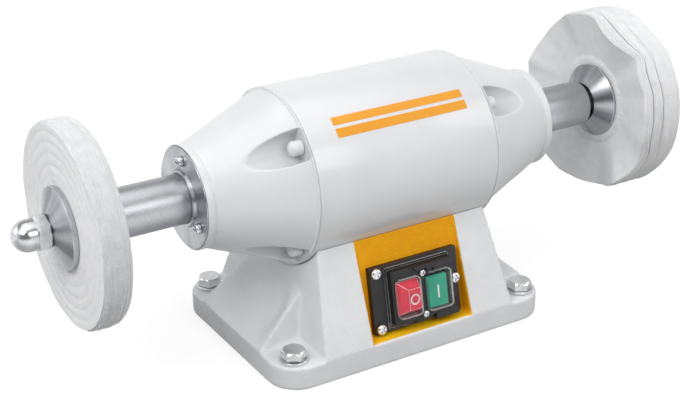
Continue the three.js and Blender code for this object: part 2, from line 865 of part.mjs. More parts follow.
function motorHousing() {
  const half = housingLength / 2;
  const tube = ring([[-half, housingRadius], [half, housingRadius], [half, housingBore], [-half, housingBore]],
    smoothSides);
  const holes = [post(-spindleHeight, 0, leadHoleRadius, smallSides)];
  for (const x of [-saddleBoltOffset, saddleBoltOffset]) {
    holes.push(post(-spindleHeight, 0, saddleBoltRadius + seatGap, holeSides, x));
  }
  return cut(tube, ...holes);
}

function endBell(side) {
  const knee = bellStart + bellLength * bellKneeShare;
  const lipEnd = bellEnd + bellLipRise;
  const lipStart = lipEnd - bellLipLength;
  const seatStop = bearingInnerFace - seatGap;
  const hollowEnd = seatStop - bearingShoulder;
  const shoulderBore = bearingRadius - bearingRingWall;
  const profile = [
    [bellStart, housingRadius],
    [pocketStart, housingRadius],
    [pocketStart, housingRadius - bellRimStep],
    [lipStart, bellLipRadius - bellLipStep],
    [lipStart, bellLipRadius],
    [lipEnd, bellLipRadius],
    [lipEnd, bellLipBore],
    [bellEnd, bellLipBore],
    [bellEnd, bearingSeatRadius],
    [seatStop, bearingSeatRadius],
    [seatStop, shoulderBore],
    [hollowEnd, shoulderBore],
    [hollowEnd, bellHollowNeckRadius],
    [knee, bellHollowRadius],
    [bellStart - bellSpigotLength, bellHollowRadius],
    [bellStart - bellSpigotLength, spigotRadius],
    [bellStart, spigotRadius],
  ].map(([x, radius]) => [side * x, radius]);
  const cutters = [];
  for (const [y, z] of tieRodPlaces(pocketCircle)) {
    cutters.push(rod(side * pocketStart, side * bellEnd, pocketRadius, mediumSides, y, z));
  }
  for (const [y, z] of tieRodPlaces(tieRodCircle)) {
    cutters.push(rod(0, side * bellEnd, rodHoleRadius, holeSides, y, z));
  }
  const screwFoot = coverOuter - machineScrewLength - cutOverrun;
  for (const [y, z] of coverScrewPlaces()) {
    cutters.push(rod(side * screwFoot, side * coverOuter, machineScrewRadius + seatGap, holeSides, y, z));
  }
  return cut(ring(profile, smoothSides), ...cutters);
}

function bearingCover(side) {
  const bore = tubeRadius + seatGap;
  const disc = ring([
    [coverInner, coverRadius],
    [coverOuter, coverRadius],
    [coverOuter, coverShoulderRadius],
    [coverOuter + coverShoulderLength, coverShoulderRadius],
    [coverOuter + coverShoulderLength, bore],
    [bearingOuterFace + seatGap, bore],
    [bearingOuterFace + seatGap, bearingRadius],
    [coverInner, bearingRadius],
  ].map(([x, radius]) => [side * x, radius]), smoothSides);
  const holes = coverScrewPlaces().map(([y, z]) => (
    rod(side * bellEnd, side * (coverOuter + cutOverrun), machineScrewRadius + seatGap, holeSides, y, z)));
  return cut(disc, ...holes);
}

function sleeveTube(side) {
  const bore = tubeRadius - tubeWall;
  return ring([
    [side * tubeStart, tubeRadius],
    [side * tubeEnd, tubeRadius],
    [side * tubeEnd, bore],
    [side * tubeStart, bore],
  ], mediumSides);
}

// Outer ring with its two shields, which reach in towards the inner ring
function bearingOuter(side) {
  const inside = bearingRadius - bearingRingWall;
  return ring([
    [bearingInnerFace, bearingRadius],
    [bearingOuterFace, bearingRadius],
    [bearingOuterFace, bearingShieldRadius],
    [bearingOuterFace - bearingShield, bearingShieldRadius],
    [bearingOuterFace - bearingShield, inside],
    [bearingInnerFace + bearingShield, inside],
    [bearingInnerFace + bearingShield, bearingShieldRadius],
    [bearingInnerFace, bearingShieldRadius],
  ].map(([x, radius]) => [side * x, radius]), mediumSides);
}

function bearingInner(side) {
  return ring([
    [side * bearingInnerFace, bearingInnerRadius],
    [side * bearingOuterFace, bearingInnerRadius],
    [side * bearingOuterFace, bearingBoreRadius],
    [side * bearingInnerFace, bearingBoreRadius],
  ], mediumSides);
}

// Stator core, notched along its outside where the tie rods pass
function statorCore() {
  const half = statorLength / 2;
  const core = ring([[-half, spigotRadius], [half, spigotRadius], [half, statorBoreRadius], [-half, statorBoreRadius]],
    mediumSides);
  const notchRadius = tieRodRadius + rodNotchGap;
  const notches = [];
  for (let i = 0; i < tieRodCount; i += 1) {
    const notch = box(-half - cutOverrun, half + cutOverrun, tieRodCircle, housingRadius, -notchRadius, notchRadius);
    notches.push(notch.rotate([tieRodFirstAngle + (i * 360) / tieRodCount, 0, 0]));
  }
  for (const [y, z] of tieRodPlaces(tieRodCircle)) {
    notches.push(rod(-half - cutOverrun, half + cutOverrun, notchRadius, smallSides, y, z));
  }
  return cut(core, ...notches);
}

function winding(side) {
  const start = statorLength / 2 + seatGap;
  const end = start + windingLength;
  return ring([
    [start, windingInnerRadius],
    [end - windingRounding, windingInnerRadius],
    [end, windingInnerRadius + windingRounding],
    [end, windingOuterRadius - windingRounding],
    [end - windingRounding, windingOuterRadius],
    [start, windingOuterRadius],
  ].map(([x, radius]) => [side * x, radius]), mediumSides);
}

function rotorCore() {
  const half = rotorLength / 2;
  const bore = shaftRadius + seatGap;
  return ring([[-half, rotorRadius], [half, rotorRadius], [half, bore], [-half, bore]], mediumSides);
}

function shaft() {
  return turned([
    [-shaftEnd, 0],
    [-shaftEnd, shaftEndRadius],
    [-shaftShoulder, shaftEndRadius],
    [-shaftShoulder, shaftRadius],
    [shaftShoulder, shaftRadius],
    [shaftShoulder, shaftEndRadius],
    [shaftEnd, shaftEndRadius],
    [shaftEnd, 0],
  ], mediumSides);
}

// Flanges, nuts and buffs

function innerFlange(side) {
  return ring([
    [innerFlangeStart, innerFlangeNeckRadius],
    [innerFlangeEnd - flangeRimBand, flangeRimRadius],
    [innerFlangeEnd, flangeRimRadius],
    [innerFlangeEnd, flangeBore],
    [innerFlangeStart, flangeBore],
  ].map(([x, radius]) => [side * x, radius]), mediumSides);
}

function outerFlange(side) {
  return ring([
    [outerFlangeStart, flangeRimRadius],
    [outerFlangeStart + flangeRimBand, flangeRimRadius],
    [outerFlangeEnd, outerFlangeNeckRadius],
    [outerFlangeEnd, flangeBore],
    [outerFlangeStart, flangeBore],
  ].map(([x, radius]) => [side * x, radius]), mediumSides);
}

// Cap nut: a hexagon with turned corners, a neck and a dome over a blind thread
function capNut(side) {
  const cornerRadius = nutAcrossFlats / Math.sqrt(3);
  const chamfer = cornerRadius - nutAcrossFlats / 2;
  const hexagon = rod(side * nutStart, side * nutHexEnd, cornerRadius, 6);
  const turn = nutCornerAngle - 90;
  const blank = turned([
    [side * nutStart, 0],
    [side * nutStart, nutAcrossFlats / 2],
    [side * (nutStart + chamfer / 2), cornerRadius],
    [side * (nutHexEnd - chamfer / 2), cornerRadius],
    [side * nutHexEnd, nutAcrossFlats / 2],
    [side * nutHexEnd, 0],
  ], mediumSides);
  const neckStart = nutHexEnd - chamfer;
  const dome = turned([
    [neckStart, 0],
    [neckStart, nutDomeRadius],
    ...crown(nutDomeCentre, nutDomeRadius, nutDomeRadius, domeSteps),
  ].map(([x, radius]) => [side * x, radius]), mediumSides);
  const thread = rod(side * (nutStart - cutOverrun), side * nutDomeCentre, flangeBore, mediumSides);
  const body = hexagon.rotate([turn, 0, 0]).intersect(blank);
  return join(body, dome).subtract(thread);
}

// Stitched buff: cotton discs sewn into one firm wheel
function stitchedBuff(side) {
  return ring([
    [buffStart, flangeBore],
    [buffStart, buffRadius - buffEdgeRounding],
    [buffStart + buffEdgeRounding, buffRadius],
    [buffEnd - buffEdgeRounding, buffRadius],
    [buffEnd, buffRadius - buffEdgeRounding],
    [buffEnd, flangeBore],
  ].map(([x, radius]) => [side * x, radius]), smoothSides);
}

// Folds round the loose buff's rim: degrees round the rim, lift as a share of the thickness, spread in degrees
const foldShares = [
  [50, 0.34, 15], [115, -0.5, 17], [136, 0.36, 7], [205, 0.22, 16],
  [228, -0.34, 12], [256, 0.42, 15], [305, -0.26, 16], [0, -0.08, 20],
];

// Faces of the loose buff's three bunches of plies, in pairs: at the clamp and at the rim, both as shares
// of the thickness counted from the inner flange, then how much of each fold the face takes
const plyFaceShares = [
  [0, -0.48, 1], [0.34, 0.04, 0.55],
  [0.32, 0.1, 0.55], [0.68, 0.6, 0.3],
  [0.66, 0.67, 0.3], [1, 1.62, 0.3],
];

function foldLift(degrees) {
  let lift = 0;
  for (const [at, share, spread] of foldShares) {
    const away = THREE.MathUtils.euclideanModulo(degrees - at + 180, 360) - 180;
    lift += share * Math.exp(-((away / spread) ** 2));
  }
  return lift * buffThickness;
}

// Loose buff: cotton plies in three bunches that fan out and fold beyond the flanges
function looseBuff(side) {
  const stationShares = [0, 0.5, 1];
  const bunches = [];
  for (let face = 0; face < plyFaceShares.length; face += 2) {
    const rows = [];
    for (let i = 0; i < foldSides; i += 1) {
      const degrees = (i * 360) / foldSides;
      const row = plyFaceShares.slice(face, face + 2).map(([clampShare, rimShare, foldShare]) => {
        const clampX = buffStart + clampShare * buffThickness;
        const rimX = buffStart + rimShare * buffThickness + foldShare * foldLift(degrees);
        const stations = stationShares.map((share) => {
          const radius = lineAt(share, 0, buffClampRadius, 1, buffRadius);
          const eased = share ** plyBend;
          const [y, z] = acrossSpindle(radius, degrees);
          return [side * lineAt(eased, 0, clampX, 1, rimX), y, z];
        });
        const [boreY, boreZ] = acrossSpindle(flangeBore, degrees);
        return [[side * clampX, boreY, boreZ], ...stations];
      });
      rows.push([...row[0], ...row[1].reverse()]);
    }
    bunches.push(hoop(rows));
  }
  return join(...bunches);
}

// What the base holds

function bottomTray() {
  const top = trayRise + trayRim;
  const outside = prismoid(hollowRectangle(trayRise, seatGap), trayRise, hollowRectangle(top, seatGap), top);
  const floor = trayRise + traySheet;
  const inset = seatGap + traySheet;
  const above = top + cutOverrun;
  const inside = prismoid(hollowRectangle(floor, inset), floor, hollowRectangle(above, inset), above);
  return outside.subtract(inside);
}

function capacitor() {
  const from = capacitorX - capacitorLength / 2;
  const to = capacitorX + capacitorLength / 2;
  const can = turned([
    [from, 0],
    [from, capacitorRadius - capacitorRounding],
    [from + capacitorRounding, capacitorRadius],
    [to - capacitorRounding, capacitorRadius],
    [to, capacitorRadius - capacitorRounding],
    [to, 0],
  ], mediumSides);
  return can.translate([0, capacitorY, trayRise + traySheet + seatGap + capacitorRadius]);
}

// Terminal block with a row of open wire slots along its top
function terminalBlock() {
  const low = trayRise + traySheet + seatGap;
  const high = low + terminalHeight;
  const body = box(
    terminalX - terminalLength / 2, terminalX + terminalLength / 2,
    terminalY - terminalWidth / 2, terminalY + terminalWidth / 2, low, high);
  const pitch = terminalLength / terminalSlotCount;
  const slots = [];
  for (let i = 0; i < terminalSlotCount; i += 1) {
    const x = terminalX - terminalLength / 2 + (i + 0.5) * pitch;
    slots.push(box(
      x - terminalSlotWidth / 2, x + terminalSlotWidth / 2,
      terminalY - terminalWidth, terminalY + terminalWidth, high - terminalSlotDepth, high + cutOverrun));
  }
  return cut(body, ...slots);
}

// Cable gland: thread through the wall, flange, hexagon and cap, with a bore right through
function cableGland() {
  const flangeStart = glandFace + seatGap;
  const hexStart = flangeStart + glandFlangeLength;
  const capStart = hexStart + glandHexLength;
  const end = capStart + glandCapLength;
  const threadStart = glandFace - backWall;
  const thread = crossRod(threadStart, hexStart, glandThreadRadius, smallSides);
  const flange = crossRod(flangeStart, hexStart, glandFlangeRadius, mediumSides);
  const hexagon = crossRod(hexStart - seatGap, capStart, glandHexAcrossFlats / Math.sqrt(3), 6);
  const cap = crossRod(capStart - seatGap, end, glandCapRadius, smallSides);
  const bore = crossRod(threadStart - cutOverrun, end + cutOverrun, glandBoreRadius, smallSides);
  return join(thread, flange, hexagon, cap).subtract(bore);
}

// Switch. In its group -Y is off the recess, so a height off the plane is a negative y here

function offBox(left, right, low, high, fromOff, toOff) {
  return box(left, right, -toOff, -fromOff, low, high);
}

function offRod(fromOff, toOff, radius, sides, x, s) {
  const geometry = new THREE.CylinderGeometry(radius, radius, toOff - fromOff, sides);
  geometry.translate(x, -(fromOff + toOff) / 2, s);
  return solidOf(geometry);
}

// Level solids drawn with their height along Z, stood up so that the height points off the recess
function stoodOff(solid) {
  const geometry = geometryOf(solid);
  geometry.rotateX(Math.PI / 2);
  return solidOf(geometry);
}

function offSlab(left, right, low, high, corner, fromOff, toOff) {
  return stoodOff(slab(roundedRectangle(left, right, low, high, corner), fromOff, toOff, cornerSteps));
}

// Solid of one lobe of the clear cover, drawn in all round by an inset
function lobe([left, right], inset, fromOff, toOff) {
  const outline = (taper) => roundedRectangle(
    left + inset + taper, right - inset - taper, lobeLow + inset + taper, lobeHigh - inset - taper,
    lobeCornerRadius - inset);
  return stoodOff(taperedSlab(outline, fromOff, toOff, coverTaper, cornerSteps));
}

function switchPlate() {
  const plate = offSlab(plateLeft, plateRight, plateLow, plateHigh, plateCornerRadius, plateBack, plateFront);
  const cutters = [offBox(
    switchLeft - seatGap, switchRight + seatGap, switchLow - seatGap, switchHigh + seatGap,
    plateBack - cutOverrun, plateFront + cutOverrun)];
  for (const [x, s] of plateScrewPlaces) {
    cutters.push(offRod(-cutOverrun, plateFront + cutOverrun, machineScrewRadius + seatGap, holeSides, x, s));
  }
  for (const [x, s] of bezelScrewPlaces) {
    cutters.push(offRod(-cutOverrun, plateFront + cutOverrun, bezelScrewRadius + seatGap, holeSides, x, s));
  }
  return cut(plate, ...cutters);
}

function buttonCover() {
  const sheetFront = coverFlangeBack + coverSheet;
  const flange = offSlab(
    coverFlangeLeft, coverFlangeRight, coverFlangeLow, coverFlangeHigh, plateCornerRadius,
    coverFlangeBack, sheetFront);
  const lobes = lobePairs.map((pair) => lobe(pair, 0, coverFlangeBack, coverTop));
  const rooms = lobePairs.map((pair) => (
    lobe(pair, coverSheet, coverFlangeBack - cutOverrun, coverTop - coverSheet)));
  const holes = bezelScrewPlaces.map(([x, s]) => (
    offRod(coverFlangeBack - cutOverrun, sheetFront + cutOverrun, bezelScrewRadius + seatGap, holeSides, x, s)));
  return cut(join(flange, ...lobes), ...rooms, ...holes);
}

function switchBezel() {
  const flat = bezelTop - bezelChamfer;
  const outline = (inset) => roundedRectangle(
    bezelLeft + inset, bezelRight - inset, bezelLow + inset, bezelHigh - inset, plateCornerRadius);
  const body = stoodOff(slab(outline(0), bezelBack, flat, cornerSteps));
  const top = stoodOff(taperedSlab(outline, flat, bezelTop, bezelChamfer, cornerSteps));
  const ribLeft = bezelScrewPlaces[0][0] + bezelRibWidth;
  const ribRight = bezelRight - bezelChamfer;
  const ribTop = bezelHigh - bezelChamfer;
  const ribLow = bezelLow + bezelChamfer;
  const ribHeight = bezelTop + bezelRibHeight;
  const upperRib = offBox(ribLeft, ribRight, ribTop - bezelRibWidth, ribTop, flat, ribHeight);
  const lowerRib = offBox(ribLeft, ribRight, ribLow, lobeLow - coverSheet, flat, bezelTop + seatGap);
  const windows = lobePairs.map((pair) => lobe(pair, -seatGap, bezelBack - cutOverrun, ribHeight + cutOverrun));
  const holes = bezelScrewPlaces.map(([x, s]) => (
    offRod(bezelBack - cutOverrun, bezelTop + cutOverrun, bezelScrewRadius + seatGap, holeSides, x, s)));
  return cut(join(body, top, upperRib, lowerRib), ...windows, ...holes);
}

function switchBody() {
  const body = offBox(switchLeft, switchRight, switchLow, switchHigh, -switchDepth, plateFront);
  const holes = [stopCentre(), startCentre()].map(([x, s]) => (
    offRod(-buttonStemLength, plateFront + cutOverrun, buttonStemRadius + seatGap, smallSides, x, s)));
  return cut(body, ...holes);
}

// Pan head screw into the recess, x and s, standing on a seat off the plane
function recessScrew([x, s], seat, length, shankRadius, headRadius, headHeight) {
  const shank = offRod(seat - length, seat + headHeight / 2, shankRadius, holeSides, x, s);
  const low = offRod(seat, seat + headHeight / 2, headRadius, smallSides, x, s);
  const headTop = seat + headHeight;
  const cap = new THREE.CylinderGeometry(headRadius, headRadius / 2, headHeight / 2, smallSides);
  cap.translate(x, -(headTop - headHeight / 4), s);
  const slotFloor = headTop - screwSlotDepth / 2;
  const slotEnd = headTop + cutOverrun;
  const halfSlot = screwSlotWidth / 2;
  const slots = [
    offBox(x - headRadius / 2, x + headRadius / 2, s - halfSlot, s + halfSlot, slotFloor, slotEnd),
    offBox(x - halfSlot, x + halfSlot, s - headRadius / 2, s + headRadius / 2, slotFloor, slotEnd),
  ];
  return cut(join(shank, low, solidOf(cap)), ...slots);
}

function stopCentre() {
  return [(stopLeft + stopRight) / 2, (stopLow + stopHigh) / 2];
}

function startCentre() {
  return [(startLeft + startRight) / 2, (startLow + startHigh) / 2];
}

function buttonStem([x, s]) {
  return offRod(buttonFoot - buttonStemLength, buttonFoot + seatGap, buttonStemRadius, smallSides, x, s);
}

// Stop button: a skirt and a raised face with slopes to the left, above and below
function stopButton() {
  const skirtTop = buttonFoot + stopSkirt;
  const skirt = offBox(stopLeft, stopRight, stopLow, stopHigh, buttonFoot, skirtTop);
  const low = [stopLeft, stopRight, stopLow, stopHigh];
  const high = [stopLeft + stopBevelLeft, stopRight, stopLow + stopBevelLow, stopHigh - stopBevelHigh];
  const raised = stoodOff(prismoid(low, skirtTop, high, stopTop));
  return join(skirt, raised, buttonStem(stopCentre()));
}

// Start button: nearly flush, with a narrow bevel to the left and above
function startButton() {
  const shoulder = startTop - startBevel;
  const skirt = offBox(startLeft, startRight, startLow, startHigh, buttonFoot, shoulder);
  const low = [startLeft, startRight, startLow, startHigh];
  const high = [startLeft + startBevel, startRight, startLow, startHigh - startBevel];
  const raised = stoodOff(prismoid(low, shoulder, high, startTop));
  return join(skirt, raised, buttonStem(startCentre()));
}

// Assembly

addPiece(machine, 'base_casting', baseCasting(), castPaint);
addPiece(machine, 'bottom_tray', bottomTray(), trayPaint);
addPiece(machine, 'capacitor', capacitor(), zincPlate);
addPiece(machine, 'terminal_block', terminalBlock(), creamPlastic);
addPiece(machine, 'cable_gland', cableGland(), blackPlastic);
boltPlaces().forEach(([x, y], i) => {
  addPiece(machine, `mounting_bolt_${i + 1}`, mountingBolt(x, y), zincPlate);
  addPiece(machine, `mounting_washer_${i + 1}`, washer(x, y), zincPlate);
});
addPiece(machine, 'saddle_bolt_left', saddleBolt(-saddleBoltOffset), zincPlate);
addPiece(machine, 'saddle_bolt_right', saddleBolt(saddleBoltOffset), zincPlate);

addPiece(spindleGroup, 'motor_housing', motorHousing(), whiteEnamel);
addPiece(spindleGroup, 'stator_core', statorCore(), laminations);
addPiece(spindleGroup, 'rotor_core', rotorCore(), laminations);
addPiece(spindleGroup, 'shaft', shaft(), machinedSteel);
tieRodPlaces(tieRodCircle).forEach(([y, z], i) => {
  addPiece(spindleGroup, `tie_rod_${i + 1}`, tieRod(y, z), whiteEnamel);
});
for (const [word, side] of [['left', -1], ['right', 1]]) {
  addPiece(spindleGroup, `end_bell_${word}`, endBell(side), whiteEnamel);
  addPiece(spindleGroup, `bearing_cover_${word}`, bearingCover(side), zincPlate);
  addPiece(spindleGroup, `sleeve_tube_${word}`, sleeveTube(side), zincPlate);
  addPiece(spindleGroup, `winding_${word}`, winding(side), copperWire);
  addPiece(spindleGroup, `bearing_outer_${word}`, bearingOuter(side), machinedSteel);
  addPiece(spindleGroup, `bearing_inner_${word}`, bearingInner(side), machinedSteel);
  addPiece(spindleGroup, `inner_flange_${word}`, innerFlange(side), machinedSteel);
  addPiece(spindleGroup, `outer_flange_${word}`, outerFlange(side), machinedSteel);
  addPiece(spindleGroup, `cap_nut_${word}`, capNut(side), brightNut);
  coverScrewPlaces().forEach(([y, z], i) => {
    addPiece(spindleGroup, `cover_screw_${word}_${i + 1}`, coverScrew(side, y, z), zincPlate);
  });
}
addPiece(spindleGroup, 'buff_left', stitchedBuff(-1), whiteCotton);
addPiece(spindleGroup, 'buff_right', looseBuff(1), whiteCotton);

addPiece(switchGroup, 'switch_plate', switchPlate(), blackPlastic);
addPiece(switchGroup, 'button_cover', buttonCover(), clearVinyl);
addPiece(switchGroup, 'switch_bezel', switchBezel(), blackPlastic);
addPiece(switchGroup, 'switch_body', switchBody(), blackPlastic);
addPiece(switchGroup, 'stop_button', stopButton(), redPlastic);
addPiece(switchGroup, 'start_button', startButton(), greenPlastic);
plateScrewPlaces.forEach((place, i) => {
  const screw = recessScrew(
    place, plateFront + seatGap, plateScrewLength, machineScrewRadius, screwHeadRadius, screwHeadHeight);
  addPiece(switchGroup, `plate_screw_${i + 1}`, screw, zincPlate);
});
bezelScrewPlaces.forEach((place, i) => {
  const screw = recessScrew(
    place, bezelTop + seatGap, bezelScrewLength, bezelScrewRadius, bezelScrewHeadRadius, bezelScrewHeadHeight);
  addPiece(switchGroup, `bezel_screw_${i + 1}`, screw, zincPlate);
});

export default machine;
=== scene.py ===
"""Bench polishing machine: a cast foot, a white motor and a cotton buff on each end of its spindle."""

import math

import bmesh
import bpy
import numpy as np
from mathutils import Matrix, Vector


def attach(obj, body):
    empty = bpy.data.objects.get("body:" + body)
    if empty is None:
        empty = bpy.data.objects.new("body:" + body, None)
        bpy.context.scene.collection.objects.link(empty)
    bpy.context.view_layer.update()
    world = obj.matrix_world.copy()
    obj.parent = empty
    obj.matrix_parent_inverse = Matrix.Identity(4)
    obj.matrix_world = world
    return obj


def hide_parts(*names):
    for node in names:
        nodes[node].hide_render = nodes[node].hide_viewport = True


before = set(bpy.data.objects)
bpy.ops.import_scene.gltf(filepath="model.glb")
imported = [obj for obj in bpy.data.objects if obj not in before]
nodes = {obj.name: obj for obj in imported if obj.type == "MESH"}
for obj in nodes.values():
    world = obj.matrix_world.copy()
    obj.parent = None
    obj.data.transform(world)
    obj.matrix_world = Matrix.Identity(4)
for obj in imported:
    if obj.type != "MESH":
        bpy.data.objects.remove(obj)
bpy.context.view_layer.update()

MM = 0.001
TAU = 2 * math.pi
SPINDLE_HEIGHT = 134.3

# Where a piece is drawn: an origin, then its first, second and rising directions
UPRIGHT = (np.zeros(3), np.eye(3))
SPINDLE = (np.array([0, 0, SPINDLE_HEIGHT]), np.array([[0, 1, 0], [0, 0, 1], [1, 0, 0]]))
SWITCH = (
    np.array([0, -69.5, 19.5]),
    np.array([[1, 0, 0], [0, 0.19823, 0.98016], [0, -0.98016, 0.19823]]),
)
GLAND = (np.array([-48, 0, 45]), np.array([[0, 0, 1], [1, 0, 0], [0, 1, 0]]))


def seat_at(seat, first, second, rise=0):
    """The same directions from an origin of their own."""
    origin, ways = seat
    return origin + np.array([first, second, rise]) @ ways, ways


# The camera stands where the photograph was taken
CAMERA_PLACE = (-0.556214, -0.885763, 0.574918)
CAMERA_RIGHT = (0.85190345, -0.52369448, -0.00214631)
CAMERA_UP = (0.22033178, 0.35469374, 0.90865079)
CAMERA_BACK = (-0.47509412, -0.77455564, 0.41755135)
CAMERA_LENS = 75.97

camera_data = bpy.data.cameras.new("camera")
camera_data.lens = CAMERA_LENS
camera_data.sensor_width = 36
camera = bpy.data.objects.new("camera", camera_data)
columns = zip(CAMERA_RIGHT, CAMERA_UP, CAMERA_BACK, CAMERA_PLACE)
camera.matrix_world = Matrix([*columns, (0, 0, 0, 1)])
bpy.context.scene.collection.objects.link(camera)
bpy.context.scene.camera = camera
bpy.context.scene.view_settings.view_transform = "Standard"


# Nodes and colours


def srgb(code):
    """Turns an sRGB hex colour into linear values."""
    channels = [int(code[i:i + 2], 16) / 255 for i in (1, 3, 5)]
    linear = [c / 12.92 if c <= 0.04045 else ((c + 0.055) / 1.055) ** 2.4 for c in channels]
    return (*linear, 1.0)


def node(tree, kind, inputs=(), stops=(), **settings):
    """Adds a node; its inputs, keyed or listed in order, take values, outputs or other nodes."""
    made = tree.nodes.new(kind)
    for name, value in settings.items():
        setattr(made, name, value)
    keyed = isinstance(inputs, dict)
    sockets = made.inputs if keyed else [socket for socket in made.inputs if socket.enabled]
    for key, value in inputs.items() if keyed else enumerate(inputs):
        if isinstance(value, bpy.types.Node):
            value = next(socket for socket in value.outputs if socket.enabled)
        if isinstance(value, bpy.types.NodeSocket):
            tree.links.new(value, sockets[key])
        else:
            sockets[key].default_value = value
    if stops:
        marks = made.color_ramp.elements
        marks.remove(marks[1])
        marks[0].position, marks[0].color = stops[0]
        for place, colour in stops[1:]:
            marks.new(place).color = colour
    return made


def started(name):
    """Starts a material and returns it with its tree and its Object coordinates."""
    look = bpy.data.materials.new(name)
    look.use_nodes = True
    tree = look.node_tree
    tree.nodes.clear()
    return look, tree, node(tree, "ShaderNodeTexCoord").outputs["Object"]


def shaded(look, inputs):
    """Ends a material with its shader."""
    shader = node(look.node_tree, "ShaderNodeBsdfPrincipled", inputs)
    node(look.node_tree, "ShaderNodeOutputMaterial", [shader])
    return look


def per_metre(size):
    """The scale of a pattern whose marks are this many millimetres across."""
    return 1 / (size * MM)


def clouded(tree, place, size, *tones, detail=2.0):
    """Soft patches, this many millimetres across, that drift between tones (share, colour)."""
    cloud = node(tree, "ShaderNodeTexNoise", {"Vector": place, "Scale": per_metre(size), "Detail": detail})
    return node(tree, "ShaderNodeValToRGB", [cloud], stops=[(share, srgb(tone)) for share, tone in tones])


def grained(tree, place, size, strength, depth, detail=2.0):
    """Bumps, this many millimetres across and up to a depth in millimetres, for a shader's normal."""
    marks = node(tree, "ShaderNodeTexNoise", {"Vector": place, "Scale": per_metre(size), "Detail": detail})
    return node(tree, "ShaderNodeBump", {"Strength": strength, "Distance": depth * MM, "Height": marks})


# Shapes


def solid(name, points, faces, crease=32):
    """Makes an object from points in millimetres, merged, turned outwards and smooth up to a crease."""
    mesh = bpy.data.meshes.new(name)
    mesh.from_pydata((np.asarray(points, float) * MM).tolist(), [], faces)
    build = bmesh.new()
    build.from_mesh(mesh)
    bmesh.ops.remove_doubles(build, verts=build.verts, dist=2e-6)
    bmesh.ops.dissolve_degenerate(build, edges=build.edges, dist=1e-6)
    bmesh.ops.recalc_face_normals(build, faces=build.faces)
    build.to_mesh(mesh)
    build.free()
    return shown(name, mesh, crease)


def shown(name, mesh, crease=32):
    """Puts a mesh in the scene as an object."""
    made = bpy.data.objects.new(name, mesh)
    bpy.context.scene.collection.objects.link(made)
    return creased(made, crease)


def creased(made, angle=32):
    """Shades an object smooth, with an edge wherever its faces turn by more than the angle."""
    made.data.shade_smooth()
    made.data.set_sharp_from_angle(angle=math.radians(angle))
    return made


def put(seat, points):
    """Moves points from a seat's own directions to the machine's."""
    origin, ways = seat
    return origin + np.asarray(points, float) @ ways


def hoop(radius, angles, station):
    """Points round a seat; the radius and the station may change with the angle."""
    return np.column_stack([radius * np.cos(angles), radius * np.sin(angles), station + 0 * angles])


def grid(rows, columns, ring=False, loop=True, first=0):
    """Faces between rows of points: loop closes each row, ring joins the last row to the first."""
    faces = []
    for i in range(rows if ring else rows - 1):
        below = first + i * columns
        above = first + (i + 1) % rows * columns
        for j in range(columns if loop else columns - 1):
            after = (j + 1) % columns
            faces.append((below + j, below + after, above + after, above + j))
    return faces


def rounded(corners, steps=4, closed=True):
    """Rounds the corners (across, up, radius) of an outline."""
    line = []
    count = len(corners)
    for i, corner in enumerate(corners):
        here = np.array(corner[:2], float)
        radius = corner[2] if len(corner) > 2 else 0
        if radius <= 0 or (not closed and i in (0, count - 1)):
            line.append(here)
            continue
        back = np.array(corners[i - 1][:2]) - here
        onward = np.array(corners[(i + 1) % count][:2]) - here
        back /= np.linalg.norm(back)
        onward /= np.linalg.norm(onward)
        half = math.acos(np.clip(back @ onward, -1, 1)) / 2
        middle = back + onward
        centre = here + middle / np.linalg.norm(middle) * radius / math.sin(half)
        start = here + back * radius / math.tan(half) - centre
        end = here + onward * radius / math.tan(half) - centre
        sweep = math.pi - 2 * half
        for k in range(steps + 1):
            share = k / steps
            near = math.sin((1 - share) * sweep) / math.sin(sweep)
            far = math.sin(share * sweep) / math.sin(sweep)
            line.append(centre + start * near + end * far)
    return np.array(line)


def turned(name, profile, sides=96, seat=SPINDLE, closed=True, flats=0, phase=0, crease=32):
    """Turns a profile of (station, radius) round a seat; flats mill it to a hexagon that wide."""
    profile = np.asarray(profile, float)
    angles = math.radians(phase) + np.arange(sides) * TAU / sides
    radii = np.repeat(profile[:, 1:2], sides, axis=1)
    if flats:
        away = (angles - math.radians(phase)) % (TAU / 6) - TAU / 12
        radii = np.minimum(radii, flats / 2 / np.cos(away))
    rows = [hoop(radius, angles, station) for radius, station in zip(radii, profile[:, 0])]
    return solid(name, put(seat, np.concatenate(rows)), grid(len(rows), sides, ring=closed), crease)


def mirrored(profile, side):
    """A profile on the left or the right end of the spindle."""
    return [(side * x, radius) for x, radius in profile]


def drill(name, low, high, radius, sides, seat):
    """A plain cylinder to cut or to join with."""
    return turned(name, [(low, 0), (low, radius), (high, radius), (high, 0)], sides, seat, closed=False)


def finer(profile, step):
    """Divides a profile's long stretches."""
    line = []
    for near, far in zip(profile[:-1], profile[1:]):
        count = max(1, math.ceil(math.dist(near, far) / step))
        line += [near + (far - near) * k / count for k in range(count)]
    line.append(profile[-1])
    return np.array(line)


def layered(name, outlines, crease=32):
    """Joins outlines of equal length, from the lowest to the highest, and closes both ends."""
    rows, columns = len(outlines), len(outlines[0])
    ends = [tuple(range(columns)), tuple(range((rows - 1) * columns, rows * columns))]
    return solid(name, np.concatenate(outlines), grid(rows, columns) + ends, crease)


def eased(low, high, low_radius=0.0, high_radius=0.0, steps=4):
    """Levels (inset, height) of a plate whose lower and upper edges are rounded."""
    turns = [math.pi / 2 * (k / steps) for k in range(steps + 1)]
    lower = [(low_radius * (1 - math.sin(t)), low + low_radius * (1 - math.cos(t))) for t in turns]
    upper = [(high_radius * (1 - math.cos(t)), high - high_radius * (1 - math.sin(t))) for t in turns]
    return (lower if low_radius else [(0, low)]) + (upper if high_radius else [(0, high)])


